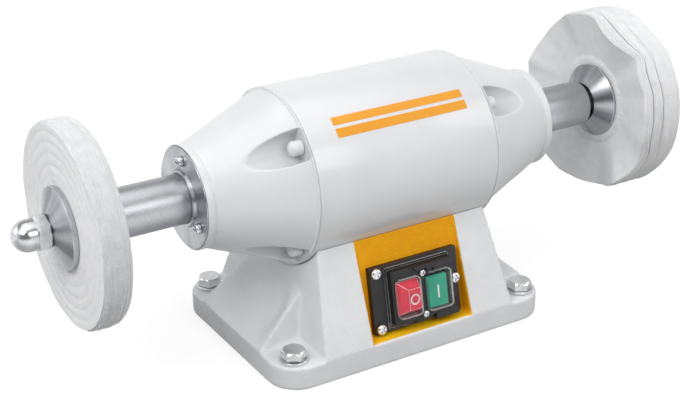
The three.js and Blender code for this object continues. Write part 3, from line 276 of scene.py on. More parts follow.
def slab(name, sides, corner, levels, seat=UPRIGHT, steps=6):
    """A rounded rectangle (left, right, near, far) drawn in by each level's inset at its height."""
    left, right, near, far = sides
    outlines = []
    for inset, height in levels:
        round_by = max(corner - inset, 0.05)
        places = (
            (left + inset, near + inset), (right - inset, near + inset),
            (right - inset, far - inset), (left + inset, far - inset),
        )
        edge = rounded([(*place, round_by) for place in places], steps)
        outlines.append(put(seat, np.column_stack([edge, np.full(len(edge), height)])))
    return layered(name, outlines)


def prismoid(name, low, low_height, high, high_height, seat=UPRIGHT):
    """Four-sided solid between two rectangles (left, right, near, far)."""
    outlines = []
    for (left, right, near, far), height in ((low, low_height), (high, high_height)):
        corners = [(left, near, height), (right, near, height), (right, far, height), (left, far, height)]
        outlines.append(put(seat, corners))
    return layered(name, outlines)


def bake(made):
    """Turns an object and its modifiers into a plain mesh."""
    bpy.context.view_layer.update()
    graph = bpy.context.evaluated_depsgraph_get()
    mesh = bpy.data.meshes.new_from_object(made.evaluated_get(graph))
    made.modifiers.clear()
    made.data = mesh


def dropped(*tools):
    """Deletes objects that have done their work."""
    for tool in tools:
        bpy.data.objects.remove(tool)


def carve(made, *tools, how="DIFFERENCE", crease=32):
    """Cuts tools out of an object, or joins them to it."""
    for tool in tools:
        cut = made.modifiers.new("cut", "BOOLEAN")
        cut.operation = how
        cut.solver = "MANIFOLD"
        cut.object = tool
        bake(made)
    dropped(*tools)
    return creased(made, crease)


def softened(made, width, angle=30):
    """Rounds an object's edges."""
    bevel = made.modifiers.new("edges", "BEVEL")
    bevel.width = width * MM
    bevel.segments = 3
    bevel.limit_method = "ANGLE"
    bevel.angle_limit = math.radians(angle)
    bake(made)
    return creased(made)


def joined(name, *parts):
    """Puts several shapes in one object."""
    build = bmesh.new()
    for part in parts:
        build.from_mesh(part.data)
    mesh = bpy.data.meshes.new(name)
    build.to_mesh(mesh)
    build.free()
    dropped(*parts)
    return shown(name, mesh)


def fitted(made, look, body, slot, *replaced):
    """Gives a finished piece its look and its body, and hides the nodes that it stands for. The slot is
    not used.
    """
    if look:
        made.data.materials.clear()
        made.data.materials.append(look)
    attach(made, body)
    if replaced:
        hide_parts(*replaced)
    return made


# Finishes

RECESS_ENDS = (-43, 46)
RECESS_FOOT = 19.5
RECESS_BACK = -50


def cast_paint():
    # Sand-cast iron under sprayed white enamel: a fine pebbled skin and soft gloss.
    # The recess is masked and sprayed orange, thinner and rougher, with a ragged edge.
    look, tree, place = started("sprayed cast iron")
    x, y, z = node(tree, "ShaderNodeSeparateXYZ", [place]).outputs
    drift = 0.3 * MM
    left, right = RECESS_ENDS
    middle, half = (left + right) / 2 * MM, (right - left) / 2
    ragged = node(tree, "ShaderNodeTexNoise", {"Vector": place, "Scale": per_metre(4.0), "Detail": 3.0})
    drifted = node(tree, "ShaderNodeMath", [ragged, drift, x], operation="MULTIPLY_ADD")
    centred = node(tree, "ShaderNodeMath", [drifted, middle + drift / 2], operation="SUBTRACT")
    reach = node(tree, "ShaderNodeMath", [centred], operation="ABSOLUTE")
    # The orange ends sideways, at the ledge and behind, each over a short stretch from bare to covered
    edges = (
        (reach, half + 0.7, half + 0.6),
        (z, RECESS_FOOT - 0.3, RECESS_FOOT - 0.1),
        (y, RECESS_BACK, RECESS_BACK - 0.5),
    )
    mask = 1.0
    for value, bare, covered in edges:
        edge = node(tree, "ShaderNodeMapRange", [value, bare * MM, covered * MM])
        mask = node(tree, "ShaderNodeMath", [mask, edge], operation="MULTIPLY")
    white = clouded(tree, place, 34.0, (0.3, "#E9EAEC"), (0.7, "#F1F2F3"))
    orange = clouded(tree, place, 7.0, (0.3, "#FFAC00"), (0.55, "#FFB200"), (0.75, "#FFBC00"), detail=4.0)
    # The recess's floor by the ledge is painted a paler yellow: painted light on a face that looks up.
    ledge_light = node(tree, "ShaderNodeMapRange", [z, (RECESS_FOOT + 1.1) * MM, (RECESS_FOOT + 0.3) * MM])
    recess = node(tree, "ShaderNodeMix", [ledge_light, orange, srgb("#FFC60E")], data_type="RGBA")
    paint = node(tree, "ShaderNodeMix", [mask, white, recess], data_type="RGBA")
    pebble = node(tree, "ShaderNodeTexNoise", {"Vector": place, "Scale": per_metre(1.6), "Detail": 3.0})
    swell = node(tree, "ShaderNodeTexNoise", {"Vector": place, "Scale": per_metre(9.0), "Detail": 1.0})
    skin = node(tree, "ShaderNodeMath", [swell, 0.7, pebble], operation="MULTIPLY_ADD")
    coarse = node(tree, "ShaderNodeMath", [mask, 0.2, 0.65], operation="MULTIPLY_ADD")
    bump = node(tree, "ShaderNodeBump", {"Strength": coarse, "Distance": 0.7 * MM, "Height": skin})
    dull = node(tree, "ShaderNodeMapRange", [mask, 0.0, 1.0, 0.38, 0.62])
    return shaded(
        look, {"Base Color": paint, "Roughness": dull, "Normal": bump, "Specular IOR Level": 0.3},
    )


def enamel(name, low, high, roughness):
    # Stoved enamel on turned aluminium: glossy, with a faint orange peel a few millimetres across.
    look, tree, place = started(name)
    return shaded(look, {
        "Base Color": clouded(tree, place, 45.0, (0.3, low), (0.7, high)),
        "Roughness": roughness, "Coat Weight": 0.35, "Coat Roughness": 0.08,
        "Normal": grained(tree, place, 3.2, 0.12, 0.4),
    })


POCKET_CIRCLE = 61
POCKET_RADIUS = 12.5


def bell_enamel():
    # Sand-cast aluminium under the same white enamel: a sandy skin, and four screw pockets
    # painted greyer inside, a painted shade where they lie sunk in the cone.
    look, tree, place = started("enamelled cast aluminium")
    paint = clouded(tree, place, 38.0, (0.3, "#E6E7E9"), (0.7, "#ECEDEE"))
    upright = node(
        tree, "ShaderNodeMapping",
        {"Vector": place, "Location": (0, 0, SPINDLE_HEIGHT * MM), "Rotation": (math.radians(3), 0, 0)},
        vector_type="TEXTURE",
    )
    quarter = node(tree, "ShaderNodeVectorMath", [upright], operation="ABSOLUTE")
    flat = node(tree, "ShaderNodeVectorMath", [quarter, (0, 1, 1)], operation="MULTIPLY")
    beside = POCKET_CIRCLE / math.sqrt(2) * MM
    away = node(tree, "ShaderNodeVectorMath", [flat, (0, beside, beside)], operation="DISTANCE")
    # The inside of each pocket is painted a greyer white: painted shade.
    pocket_shade = node(
        tree, "ShaderNodeMapRange", [away, (POCKET_RADIUS + 0.3) * MM, (POCKET_RADIUS - 0.1) * MM],
    )
    return shaded(look, {
        "Base Color": node(tree, "ShaderNodeMix", [pocket_shade, paint, srgb("#D2D4D6")], data_type="RGBA"),
        "Roughness": 0.3, "Coat Weight": 0.3, "Coat Roughness": 0.1,
        "Normal": grained(tree, place, 1.3, 0.4, 0.4, detail=3.0),
    })


def turned_metal(name, low, high, roughness, anisotropy, depth=0.1, rim=100.0):
    # Steel turned in a lathe and plated: grooves run round the spindle and stretch each highlight
    # into bright sectors. They are drawn about a millimetre apart to show. Past the rim's radius,
    # in millimetres, the edge is painted lighter: a painted highlight.
    look, tree, place = started(name)
    tangent = node(tree, "ShaderNodeTangent", direction_type="RADIAL", axis="X")
    centred = node(tree, "ShaderNodeMapping", {"Vector": place, "Location": (0, 0, -SPINDLE_HEIGHT * MM)})
    along, first, second = node(tree, "ShaderNodeSeparateXYZ", [centred]).outputs
    across = node(tree, "ShaderNodeCombineXYZ", [0.0, first, second])
    radius = node(tree, "ShaderNodeVectorMath", [across], operation="LENGTH")
    track = node(tree, "ShaderNodeCombineXYZ", [along, radius])
    fine = node(tree, "ShaderNodeTexNoise", {"Vector": track, "Scale": per_metre(0.9), "Detail": 2.0})
    outwards = node(tree, "ShaderNodeVectorMath", [across], operation="NORMALIZE")
    sector = node(tree, "ShaderNodeTexNoise", {"Vector": outwards, "Scale": 1.8, "Detail": 1.5})
    tone = node(tree, "ShaderNodeMath", [fine, 5 * depth, sector], operation="MULTIPLY_ADD")
    stops = [(0.38 + 2.5 * depth, srgb(low)), (0.62 + 2.5 * depth, srgb(high))]
    colour = node(tree, "ShaderNodeValToRGB", [tone], stops=stops)
    # Past the rim's radius the colour turns lighter: a painted highlight along the flange's edge.
    edge = node(tree, "ShaderNodeMapRange", [radius, (rim - 0.2) * MM, rim * MM])
    return shaded(look, {
        "Base Color": node(tree, "ShaderNodeMix", [edge, colour, srgb("#C6C8CC")], data_type="RGBA"),
        "Metallic": 1.0, "Roughness": roughness,
        "Anisotropic": anisotropy, "Anisotropic Rotation": 0.25, "Tangent": tangent,
        "Normal": node(tree, "ShaderNodeBump", {"Strength": depth, "Distance": 0.2 * MM, "Height": fine}),
    })


def plain_metal(name, low, high, roughness, mark=2.5, strength=0.1):
    # Steel or aluminium as it leaves the bath or the press: cloudy, with small marks.
    look, tree, place = started(name)
    cloud = node(tree, "ShaderNodeTexNoise", {"Vector": place, "Scale": per_metre(mark), "Detail": 4.0})
    stops = [(0.35, srgb(low)), (0.7, srgb(high))]
    rough = [cloud, 0.0, 1.0, roughness * 0.75, roughness * 1.3]
    bump = node(tree, "ShaderNodeBump", {"Strength": strength, "Distance": 0.3 * MM, "Height": cloud})
    return shaded(look, {
        "Base Color": node(tree, "ShaderNodeValToRGB", [cloud], stops=stops),
        "Metallic": 1.0, "Roughness": node(tree, "ShaderNodeMapRange", rough), "Normal": bump,
    })


def moulded(name, low, high, roughness, grain=0.8, strength=0.2):
    # Injection-moulded plastic: even colour, a spark-eroded grain that breaks up the highlight.
    look, tree, place = started(name)
    return shaded(look, {
        "Base Color": clouded(tree, place, 12.0, (0.35, low), (0.65, high)),
        "Roughness": roughness, "Normal": grained(tree, place, grain, strength, 0.2),
    })


def pressed_cap(name, low, high, highlight_tone):
    # Acrylic push caps whose moulded edges are painted paler: a painted highlight along each crease.
    look, tree, place = started(name)
    colour = clouded(tree, place, 12.0, (0.35, low), (0.65, high))
    eased_way = node(tree, "ShaderNodeBevel", {"Radius": MM}, samples=6)
    true_way = node(tree, "ShaderNodeNewGeometry").outputs["Normal"]
    agree = node(tree, "ShaderNodeVectorMath", [eased_way, true_way], operation="DOT_PRODUCT")
    edge = node(tree, "ShaderNodeMapRange", [agree, 0.999, 0.975])
    return shaded(look, {
        "Base Color": node(tree, "ShaderNodeMix", [edge, colour, srgb(highlight_tone)], data_type="RGBA"),
        "Roughness": 0.3, "Normal": grained(tree, place, 1.0, 0.1, 0.2),
    })


def clear_vinyl():
    # Clear soft vinyl, vacuum formed: see-through and glossy; seen edge-on it turns less clear and whiter,
    # a painted highlight along its bent edges.
    look, tree, place = started("clear vinyl")
    rim = node(tree, "ShaderNodeLayerWeight", {"Blend": 0.5}).outputs["Facing"]
    return shaded(look, {
        "Base Color": clouded(tree, place, 9.0, (0.3, "#F2F5F5"), (0.7, "#FDFDFD")),
        "Roughness": 0.06, "IOR": 1.22,
        "Transmission Weight": node(tree, "ShaderNodeMapRange", [rim, 0.3, 0.9, 1.0, 0.3]),
        "Normal": grained(tree, place, 6.0, 0.1, 0.4, detail=1.0),
    })


def cotton(name, low, high, strength):
    # Bleached cotton sheeting, many plies sewn together: matt, soft, cloudy, with loose fibres.
    # Its threads are drawn nearly a millimetre apart, twice the real spacing, so that they show.
    look, tree, place = started(name)
    weave = {"Vector": place, "Scale": per_metre(0.9) / 3.2, "Distortion": 1.5}
    threads = [node(tree, "ShaderNodeTexWave", weave, bands_direction=way).outputs[1] for way in "YZ"]
    cloth = node(tree, "ShaderNodeMath", threads, operation="ADD")
    fluff = node(tree, "ShaderNodeTexNoise", {"Vector": place, "Scale": per_metre(1.4), "Detail": 4.0})
    height = node(tree, "ShaderNodeMath", [cloth, 0.25, fluff], operation="MULTIPLY_ADD")
    bump = node(tree, "ShaderNodeBump", {"Strength": strength, "Distance": 0.8 * MM, "Height": height})
    return shaded(look, {
        "Base Color": clouded(tree, place, 7.0, (0.3, low), (0.7, high), detail=4.0),
        "Roughness": 0.95, "Sheen Weight": 0.35, "Sheen Roughness": 0.5, "Normal": bump,
    })


CAST_PAINT = cast_paint()
BELL_ENAMEL = bell_enamel()
WHITE_ENAMEL = enamel("stoved white enamel", "#E6E7E9", "#ECEDEE", 0.24)
ORANGE_ENAMEL = enamel("orange stripe enamel", "#F5A11D", "#FBAE2D", 0.3)
SATIN_ZINC = plain_metal("satin zinc plate", "#B2B4B8", "#C4C6CA", 0.36, 1.0, 0.04)
DULL_ZINC = turned_metal("dull zinc plate", "#A2A5AA", "#C2C4C8", 0.36, 0.75)
# The turned steel's edge past 29.8 mm carries a painted highlight.
MACHINED_STEEL = turned_metal("turned steel", "#85888D", "#BCBEC2", 0.3, 0.6, 0.05, 29.8)
BRIGHT_NUT = plain_metal("bright nickel plate", "#C0C1C4", "#D8D9DC", 0.22, 5.0, 0.05)
FASTENER_ZINC = plain_metal("barrel zinc plate", "#D4D6D9", "#E6E7E9", 0.24, 4.0, 0.06)
LAMINATIONS = plain_metal("stamped electrical steel", "#5C5E62", "#7B7D80", 0.5)
COPPER_WIRE = plain_metal("varnished copper wire", "#9A4A22", "#C26B35", 0.35, 1.0, 0.6)
TRAY_PAINT = moulded("grey tray paint", "#8B8D90", "#97999C", 0.5, 1.5)
CAN_ALUMINIUM = plain_metal("drawn aluminium", "#C6C8CA", "#DCDEDF", 0.3)
CREAM_PLASTIC = moulded("cream urea plastic", "#D9D1B8", "#E2DAC3", 0.45)
BLACK_PLASTIC = moulded("black polyamide", "#17171A", "#1E1E21", 0.42)
CLEAR_VINYL = clear_vinyl()
# The last colour of each cap is its painted edge highlight.
RED_PLASTIC = pressed_cap("red acrylic", "#F21F3C", "#FA3450", "#FFD4DA")
GREEN_PLASTIC = pressed_cap("green acrylic", "#06A07E", "#12AE8A", "#4CC6A8")
MARK_INK = moulded("white marking ink", "#EDEDED", "#F7F7F7", 0.5)
STITCHED_COTTON = cotton("stitched cotton sheeting", "#F2F3F5", "#FCFCFD", 0.3)
LOOSE_COTTON = cotton("loose cotton sheeting", "#F1F2F3", "#FAFAFB", 0.25)


# Cast base

FOOT = (-120.3, 120.3, -83.9, 83.9)
FOOT_CORNER = 24
FOOT_TOP = 18.6
FOOT_MIDDLE = 9.3
CORE_TOP = 94.3
# Half the core's length and width, at the foot and at its head
CORE_FOOT = (85, 83.9)
CORE_HEAD = (74.5, 54.37)
RECESS_DEPTH = 69.5
BOLT_X, BOLT_Y = 103.25, 68.1
# The saddle clears the motor, which lies on a pad in the middle (half its length, its radius)
SADDLE_RADIUS = 69.2
SADDLE_PAD = (76.5, 67.8)
PAST_END = 130
# Half the flare's width where it starts and where it meets the core
FLARE_FOOT = 48
FLARE_HEAD = 39
# The ridges' rise beside the flare, its extra rise and sag in the middle, and the stretch between them
RIDGE_RISE = 37.8
FLARE_RISE = 3.8
FLARE_SAG = 13
FLARE_BLEND = 28


def between(height, low_height, low, high_height, high):
    """The value on a straight line between two heights."""
    return low + (high - low) * (height - low_height) / (high_height - low_height)


def core_length(height):
    return between(height, FOOT_TOP, CORE_FOOT[0], CORE_TOP, CORE_HEAD[0])


def hollow_sides(height):
    """The casting's inside at a height, within walls of 8, 7 and 14 mm."""
    long = core_length(height) - 8
    front = between(height, RECESS_FOOT, RECESS_DEPTH, CORE_TOP, CORE_HEAD[1]) - 7
    back = between(height, FOOT_TOP, CORE_FOOT[1], CORE_TOP, CORE_HEAD[1]) - 14
    return (-long, long, -front, back)


def flare(side):
    """The sweep from the foot's end up to the core, between two ridges."""
    sections = []
    share = np.linspace(0, 1, 17)
    for across in np.linspace(-1, 1, 41):
        edge = np.clip((1 - abs(across)) * FLARE_FOOT / FLARE_BLEND, 0, 1)
        blend = edge * edge * (3 - 2 * edge)
        top = FOOT_TOP + RIDGE_RISE + FLARE_RISE * blend
        low = np.array([FOOT[1], across * FLARE_FOOT, 19.7])
        high = np.array([core_length(top), across * FLARE_HEAD, top])
        run, climb = low[0] - high[0], high[2] - low[2]
        chord = math.hypot(run, climb)
        sag = 4 * share * (1 - share) * FLARE_SAG * blend
        x = low[0] - run * share - sag * climb / chord
        y = low[1] + (high[1] - low[1]) * share
        z = low[2] + climb * share - sag * run / chord
        sweep = np.column_stack([x, y, z])
        inner = [[64, high[1], top], [64, high[1], FOOT_MIDDLE]]
        section = np.vstack([[low[0], low[1], FOOT_MIDDLE], sweep, inner])
        sections.append(section * (side, 1, 1))
    return layered(f"flare_{side}", sections)


def cast_base():
    base = slab("base", FOOT, FOOT_CORNER, eased(0, FOOT_TOP, 0.8, 1.6), steps=12)
    long, wide = CORE_FOOT
    core_low = (-long, long, -wide, wide)
    core_high = (-CORE_HEAD[0], CORE_HEAD[0], -CORE_HEAD[1], CORE_HEAD[1])
    buried = (-long, long, 0.1 - wide, wide - 0.1)
    core = prismoid("core", core_low, FOOT_TOP, core_high, CORE_TOP)
    core_foot = prismoid("core_foot", buried, FOOT_MIDDLE, buried, FOOT_TOP + 0.2)
    carve(base, core, core_foot, flare(-1), flare(1), how="UNION")
    saddle = [SADDLE_PAD, (SADDLE_PAD[0], SADDLE_RADIUS), (PAST_END, SADDLE_RADIUS), (PAST_END, 0)]
    saddle = turned("saddle", mirrored(saddle[::-1], -1) + saddle, 256)
    section = [(-RECESS_DEPTH, RECESS_FOOT), (-100, RECESS_FOOT), (-100, 110), (-51.19, 110)]
    tools = [saddle, layered("recess", [[(x, y, z) for y, z in section] for x in RECESS_ENDS])]
    for x in (-BOLT_X, BOLT_X):
        for y in (-BOLT_Y, BOLT_Y):
            tools.append(drill("bolt_hole", -1, 20, 5.5, 48, seat_at(UPRIGHT, x, y)))
    carve(base, *tools, drill("gland_spot", 68.92, 100, 12.5, 64, GLAND))
    cast = base.modifiers.new("casting", "REMESH")
    cast.mode = "VOXEL"
    cast.voxel_size = 1.35 * MM
    cast.use_smooth_shade = True
    fettle = base.modifiers.new("fettling", "SMOOTH")
    fettle.factor = 0.5
    fettle.iterations = 3
    bake(base)
    hollow = prismoid("hollow", hollow_sides(-1), -1, hollow_sides(CORE_TOP), CORE_TOP)
    carve(hollow, drill("shell", -PAST_END, PAST_END, 75.8, 96, SPINDLE))
    thread = drill("gland_thread", 0, 90, 8.3, 48, GLAND)
    body_hole = slab("body_hole", (-17.5, 29.5, 11, 40), 0.5, [(0, -9), (0, 2)], SWITCH)
    carve(base, hollow, thread, body_hole, crease=50)
    return fitted(base, CAST_PAINT, "machine", "cast_paint", "base_casting")


cast_base()


# Motor

HOUSING_END = 77.8
HOUSING_RADIUS = 67.5
HOUSING_BORE = 64
STRIPE_ENDS = (-54.2, 58.3)
# The angles round the spindle between which each stripe lies
STRIPES = ((126.4, 132.1), (134.4, 140.5))

housing = rounded([
    (-HOUSING_END, HOUSING_RADIUS, 0.9), (HOUSING_END, HOUSING_RADIUS, 0.9),
    (HOUSING_END, HOUSING_BORE, 0.3), (-HOUSING_END, HOUSING_BORE, 0.3),
])
fitted(turned("housing", housing, 256), WHITE_ENAMEL, "machine", "white_enamel", "motor_housing")


def stripe(name, low, high):
    """A painted band along the housing, a shell a tenth of a millimetre thick."""
    angles = np.radians(np.linspace(low, high, 9))
    left, right = STRIPE_ENDS
    under, over = HOUSING_RADIUS + 0.03, HOUSING_RADIUS + 0.14
    section = ((under, left), (over, left), (over, right), (under, right))
    rows = [hoop(radius, angles, x) for radius, x in section]
    columns = len(angles)
    faces = grid(4, columns, ring=True, loop=False)
    faces += [tuple(range(0, 4 * columns, columns)), tuple(range(4 * columns - 1, 0, -columns))]
    return solid(name, put(SPINDLE, np.concatenate(rows)), faces)


for number, (low, high) in enumerate(STRIPES, 1):
    fitted(stripe(f"stripe_{number}", low, high), ORANGE_ENAMEL, "machine", "white_enamel")

POCKET_FLOOR = 79.6
POCKET_END = 48.5
# How far the columns that follow a pocket spread from its middle, in degrees, and where they lie
POCKET_SPREAD = 14
POCKET_MARKS = np.array([
    0, 0.12, 0.24, 0.36, 0.48, 0.6, 0.7, 0.78, 0.84, 0.89, 0.92, 0.945, 0.965, 0.98, 0.992,
    1.005, 1.02, 1.04, 1.065, 1.1, 1.16, 1.25, 1.4, 1.6, 1.8,
])
TIE_ANGLES = (48, 138, 228, 318)
BELL_ROUNDING = 1.2
BELL_FACING = 0.925


def bell_outline():
    """The outside of an end bell: its rim disc, the cone behind it and the lip round the cover."""
    cone = [79.62, 79.66, 79.72, 79.8, 79.9, 80.05, 80.3, 80.7, 81.3, 82.2]
    cone = np.r_[cone, np.arange(83.5, 112, 1.5), np.arange(112, 124, 0.6), np.arange(125, 146, 5)]
    cone = np.column_stack([cone, np.interp(cone, (79.6, 146.5), (65.7, 38.4))])
    rim = [(78.1, 66.8), (78.1, HOUSING_RADIUS, 0.7), (79.6, HOUSING_RADIUS, 0.55), (79.6, 65.7)]
    lip = [(146.1, 38.56), (146.5, 38.56, 0.3), (146.5, 39.25, 0.35), (152.2, 39.25, 0.45), (152.2, 38.4)]
    return np.vstack([rounded(rim, closed=False), cone, rounded(lip, closed=False)])


def pocket_reach(radius):
    """Half the angle that a pocket takes out of the cone where it has this radius."""
    rise = (radius**2 + POCKET_CIRCLE**2 - POCKET_RADIUS**2) / (2 * radius * POCKET_CIRCLE)
    return np.maximum(np.degrees(np.arccos(np.clip(rise, -1, 1))), 1.5)


def blend_high(a, b, width):
    """The greater of two fields, with a fillet where they are about equal."""
    near = np.maximum(width - np.abs(a - b), 0) / width
    return np.maximum(a, b) + near * near * width / 4


def end_bell(side, word):
    """A cone with four screw pockets, drawn as a grid whose columns follow the pockets' edges."""
    marks = np.concatenate([-POCKET_MARKS[:0:-1], POCKET_MARKS])
    size = np.abs(marks)
    plain = np.arange(POCKET_SPREAD, 76.01, 62 / 30)
    depths = np.linspace(68.5, 44, 240)[:, None]
    rows = []
    for x, cone in bell_outline():
        reach = pocket_reach(max(min(cone, HOUSING_RADIUS), POCKET_END + 0.2))
        beyond = reach + (size - 1) * (POCKET_SPREAD - reach)
        within = np.sign(marks) * np.where(size <= 1, size * reach, beyond)
        angles = np.radians(np.concatenate([np.r_[tie + within, tie + plain] for tie in TIE_ANGLES]))
        away = np.radians(np.tile(np.r_[within, np.full(len(plain), 45.0)], len(TIE_ANGLES)))
        radius = np.full(len(away), cone)
        if x > POCKET_FLOOR and cone > POCKET_END - 1:
            outside = (depths - cone) * BELL_FACING
            far = np.sqrt(depths**2 + POCKET_CIRCLE**2 - 2 * depths * POCKET_CIRCLE * np.cos(away))
            pocket = -blend_high(far - POCKET_RADIUS, POCKET_FLOOR - x + 0 * far, 0.5)
            open_air = blend_high(outside, pocket, BELL_ROUNDING)
            first = np.argmax(open_air < 0, axis=0)
            column = np.arange(len(away))
            above, below = open_air[first - 1, column], open_air[first, column]
            step = depths[first, 0] - depths[first - 1, 0]
            radius = np.minimum(depths[first - 1, 0] + step * above / (above - below), cone)
        rows.append(hoop(radius, angles, side * x))
    inside = (
        (150, 38.4), (150, 23.8), (135, 23.8), (135, 36),
        (111.9, 46), (73.1, 46), (73.1, 63.7), (78.1, 63.7),
    )
    rows += [hoop(radius, angles, side * x) for x, radius in inside]
    bell = put(SPINDLE, np.concatenate(rows))
    bell = solid(f"bell_{word}", bell, grid(len(rows), len(rows[0]), ring=True), 40)
    return fitted(bell, BELL_ENAMEL, "machine", "white_enamel", f"end_bell_{word}")


def cap_nut(side, word):
    flank = [(257.4, 10.8), (257.5, 12.6), (258.3, 14.1), (265.2, 14.1), (266.3, 12.0)]
    hexagon = np.vstack([[(256.6, 8.0), (256.6, 10.8)], finer(rounded(flank, closed=False), 0.35)])
    reach, base = 11.6, 270.7
    dome = [(266.3, reach), (base, reach)]
    dome += [(base + reach * math.sin(a), reach * math.cos(a)) for a in np.linspace(0.1, math.pi / 2, 14)]
    profile = np.vstack([hexagon, finer(np.array(dome), 1.2), [(258, 0), (258, 8.0)]])
    nut = turned(f"nut_{word}", mirrored(profile, side), 144, flats=24, phase=35, crease=24)
    return fitted(nut, BRIGHT_NUT, "spindle", "bright_nut", f"cap_nut_{word}")


# Turned pieces: name, profile, sides, finish, body, slot and the node that each stands for
TURNED = (
    ("cover_{}", (
        (149.6, 18.75), (149.6, 23.4, 0.2), (150.3, 23.5), (150.3, 38.1, 0.3), (153.2, 38.1, 0.5),
        (153.2, 21.6, 0.6), (155.7, 21.1, 0.7), (155.7, 18.75, 0.2),
    ), 160, DULL_ZINC, "machine", "zinc_plate", "bearing_cover_{}"),
    ("tube_{}", (
        (149.6, 15.5), (149.6, 18.45, 0.3), (209.2, 18.45, 0.6), (209.2, 15.5, 0.5),
    ), 128, SATIN_ZINC, "machine", "zinc_plate", "sleeve_tube_{}"),
    ("flange_{}_inner", (
        (214.4, 8), (214.4, 16.2, 0.5), (224.2, 30, 0.3), (225.9, 30, 0.3), (225.9, 8),
    ), 160, MACHINED_STEEL, "spindle", "machined_steel", "inner_flange_{}"),
    ("flange_{}_outer", (
        (245.4, 8), (245.4, 30, 0.3), (249.4, 30, 0.25), (256.3, 13.1, 0.4), (256.3, 8),
    ), 160, MACHINED_STEEL, "spindle", "machined_steel", "outer_flange_{}"),
)

for side, word in ((-1, "left"), (1, "right")):
    end_bell(side, word)
    for name, corners, sides, finish, body, slot, stands_for in TURNED:
        made = turned(name.format(word), mirrored(rounded(corners), side), sides)
        fitted(made, finish, body, slot, stands_for.format(word))
    cap_nut(side, word)


# Fasteners, grown from one shape each


def growing(name, **sizes):
    """Starts a tree of geometry nodes for copies of a part and returns it with its named inputs."""
    tree = bpy.data.node_groups.new(name, "GeometryNodeTree")
    for way in ("INPUT", "OUTPUT"):
        tree.interface.new_socket("Geometry", in_out=way, socket_type="NodeSocketGeometry")
    for label, kind in {"Part": "Object", **sizes, "Seed": "Int", "Finish": "Material"}.items():
        tree.interface.new_socket(label, in_out="INPUT", socket_type=f"NodeSocket{kind}")
    return tree, node(tree, "NodeGroupInput").outputs


def ended(tree, given, points, turn):
    """Ends a tree: its part stands on each point, turned, in one mesh with one finish."""
    part = node(tree, "GeometryNodeObjectInfo", {"Object": given["Part"], "As Instance": True})
    copies = node(
        tree, "GeometryNodeInstanceOnPoints",
        {"Points": points, "Instance": part.outputs["Geometry"], "Rotation": turn},
    )
    real = node(tree, "GeometryNodeRealizeInstances", {"Geometry": copies})
    coloured = node(tree, "GeometryNodeSetMaterial", {"Geometry": real, "Material": given["Finish"]})
    node(tree, "NodeGroupOutput", {"Geometry": coloured})
    return tree


def grown(name, tree, **values):
    """Grows a tree into a plain mesh."""
    made = bpy.data.objects.new(name, bpy.data.meshes.new(name))
    bpy.context.scene.collection.objects.link(made)
    grow = made.modifiers.new("grow", "NODES")
    grow.node_group = tree
    for socket in tree.interface.items_tree:
        label = socket.name.lower()
        if socket.in_out == "INPUT" and label in values:
            grow[socket.identifier] = values[label]
    bake(made)
    return creased(made)


def stood(tree, given, mesh, turn):
    """Turns a mesh and stands it on the spindle, at the tree's station."""
    where = node(tree, "ShaderNodeCombineXYZ", [given["Station"], 0.0, SPINDLE_HEIGHT * MM])
    return node(tree, "GeometryNodeTransform", {"Geometry": mesh, "Translation": where, "Rotation": turn})


def around_spindle():
    """Copies of a part on a circle round the spindle, turned outwards by a share and then by chance."""
    tree, given = growing(
        "around spindle", Count="Int", Circle="Float", First="Float", Station="Float",
        Outwards="Float", Twist="Float",
    )
    circle = node(tree, "GeometryNodeMeshCircle", {"Vertices": given["Count"], "Radius": given["Circle"]})
    first = node(tree, "ShaderNodeCombineXYZ", {"Z": given["First"]})
    spun = node(tree, "GeometryNodeTransform", {"Geometry": circle, "Rotation": first})
    upright = stood(tree, given, spun, (TAU / 4, 0, TAU / 4))
    chance = node(tree, "FunctionNodeRandomValue", {2: 0.0, 3: given["Twist"], "Seed": given["Seed"]})
    step = node(tree, "ShaderNodeMath", [TAU, given["Count"]], operation="DIVIDE")
    order = node(tree, "GeometryNodeInputIndex")
    along = node(tree, "ShaderNodeMath", [order, step, given["First"]], operation="MULTIPLY_ADD")
    turn = node(tree, "ShaderNodeMath", [along, given["Outwards"], chance], operation="MULTIPLY_ADD")
    return ended(tree, given, upright, node(tree, "FunctionNodeAxisAngleToRotation", [(1, 0, 0), turn]))


def bolt_pattern():
    """Copies of a part at the four corners of a rectangle, each turned by chance."""
    tree, given = growing("bolt pattern", Length="Float", Width="Float", Twist="Float")
    corners = node(
        tree, "GeometryNodeMeshGrid",
        {"Size X": given["Length"], "Size Y": given["Width"], "Vertices X": 2, "Vertices Y": 2},
    )
    chance = node(tree, "FunctionNodeRandomValue", {2: 0.0, 3: given["Twist"], "Seed": given["Seed"]})
    return ended(tree, given, corners, node(tree, "FunctionNodeAxisAngleToRotation", [(0, 0, 1), chance]))


AROUND_SPINDLE = around_spindle()
BOLT_PATTERN = bolt_pattern()
AT_ORIGIN = (np.zeros(3), SPINDLE[1])

dome = [(86.4 + 3.5 * math.sin(a), 5.6 * math.cos(a)) for a in np.linspace(0, math.pi / 2, 9)]
shoulder = rounded([(79.9, 4.9), (79.9, 5.6, 0.5), (82, 5.6)], closed=False)
half_tie = [(0.0, 2.5), (79.9, 2.5), *map(tuple, shoulder), *dome]
tie = turned("tie", mirrored(half_tie[:0:-1], -1) + half_tie, 48, AT_ORIGIN, closed=False)
ties = grown(
    "tie_heads", AROUND_SPINDLE, part=tie, count=4, circle=57.5 * MM, first=math.radians(TIE_ANGLES[0]),
    station=0.0, outwards=0.0, twist=0.0, seed=1, finish=WHITE_ENAMEL,
)
fitted(ties, None, "machine", "white_enamel", "tie_rod_1", "tie_rod_2", "tie_rod_3", "tie_rod_4")
dropped(tie)


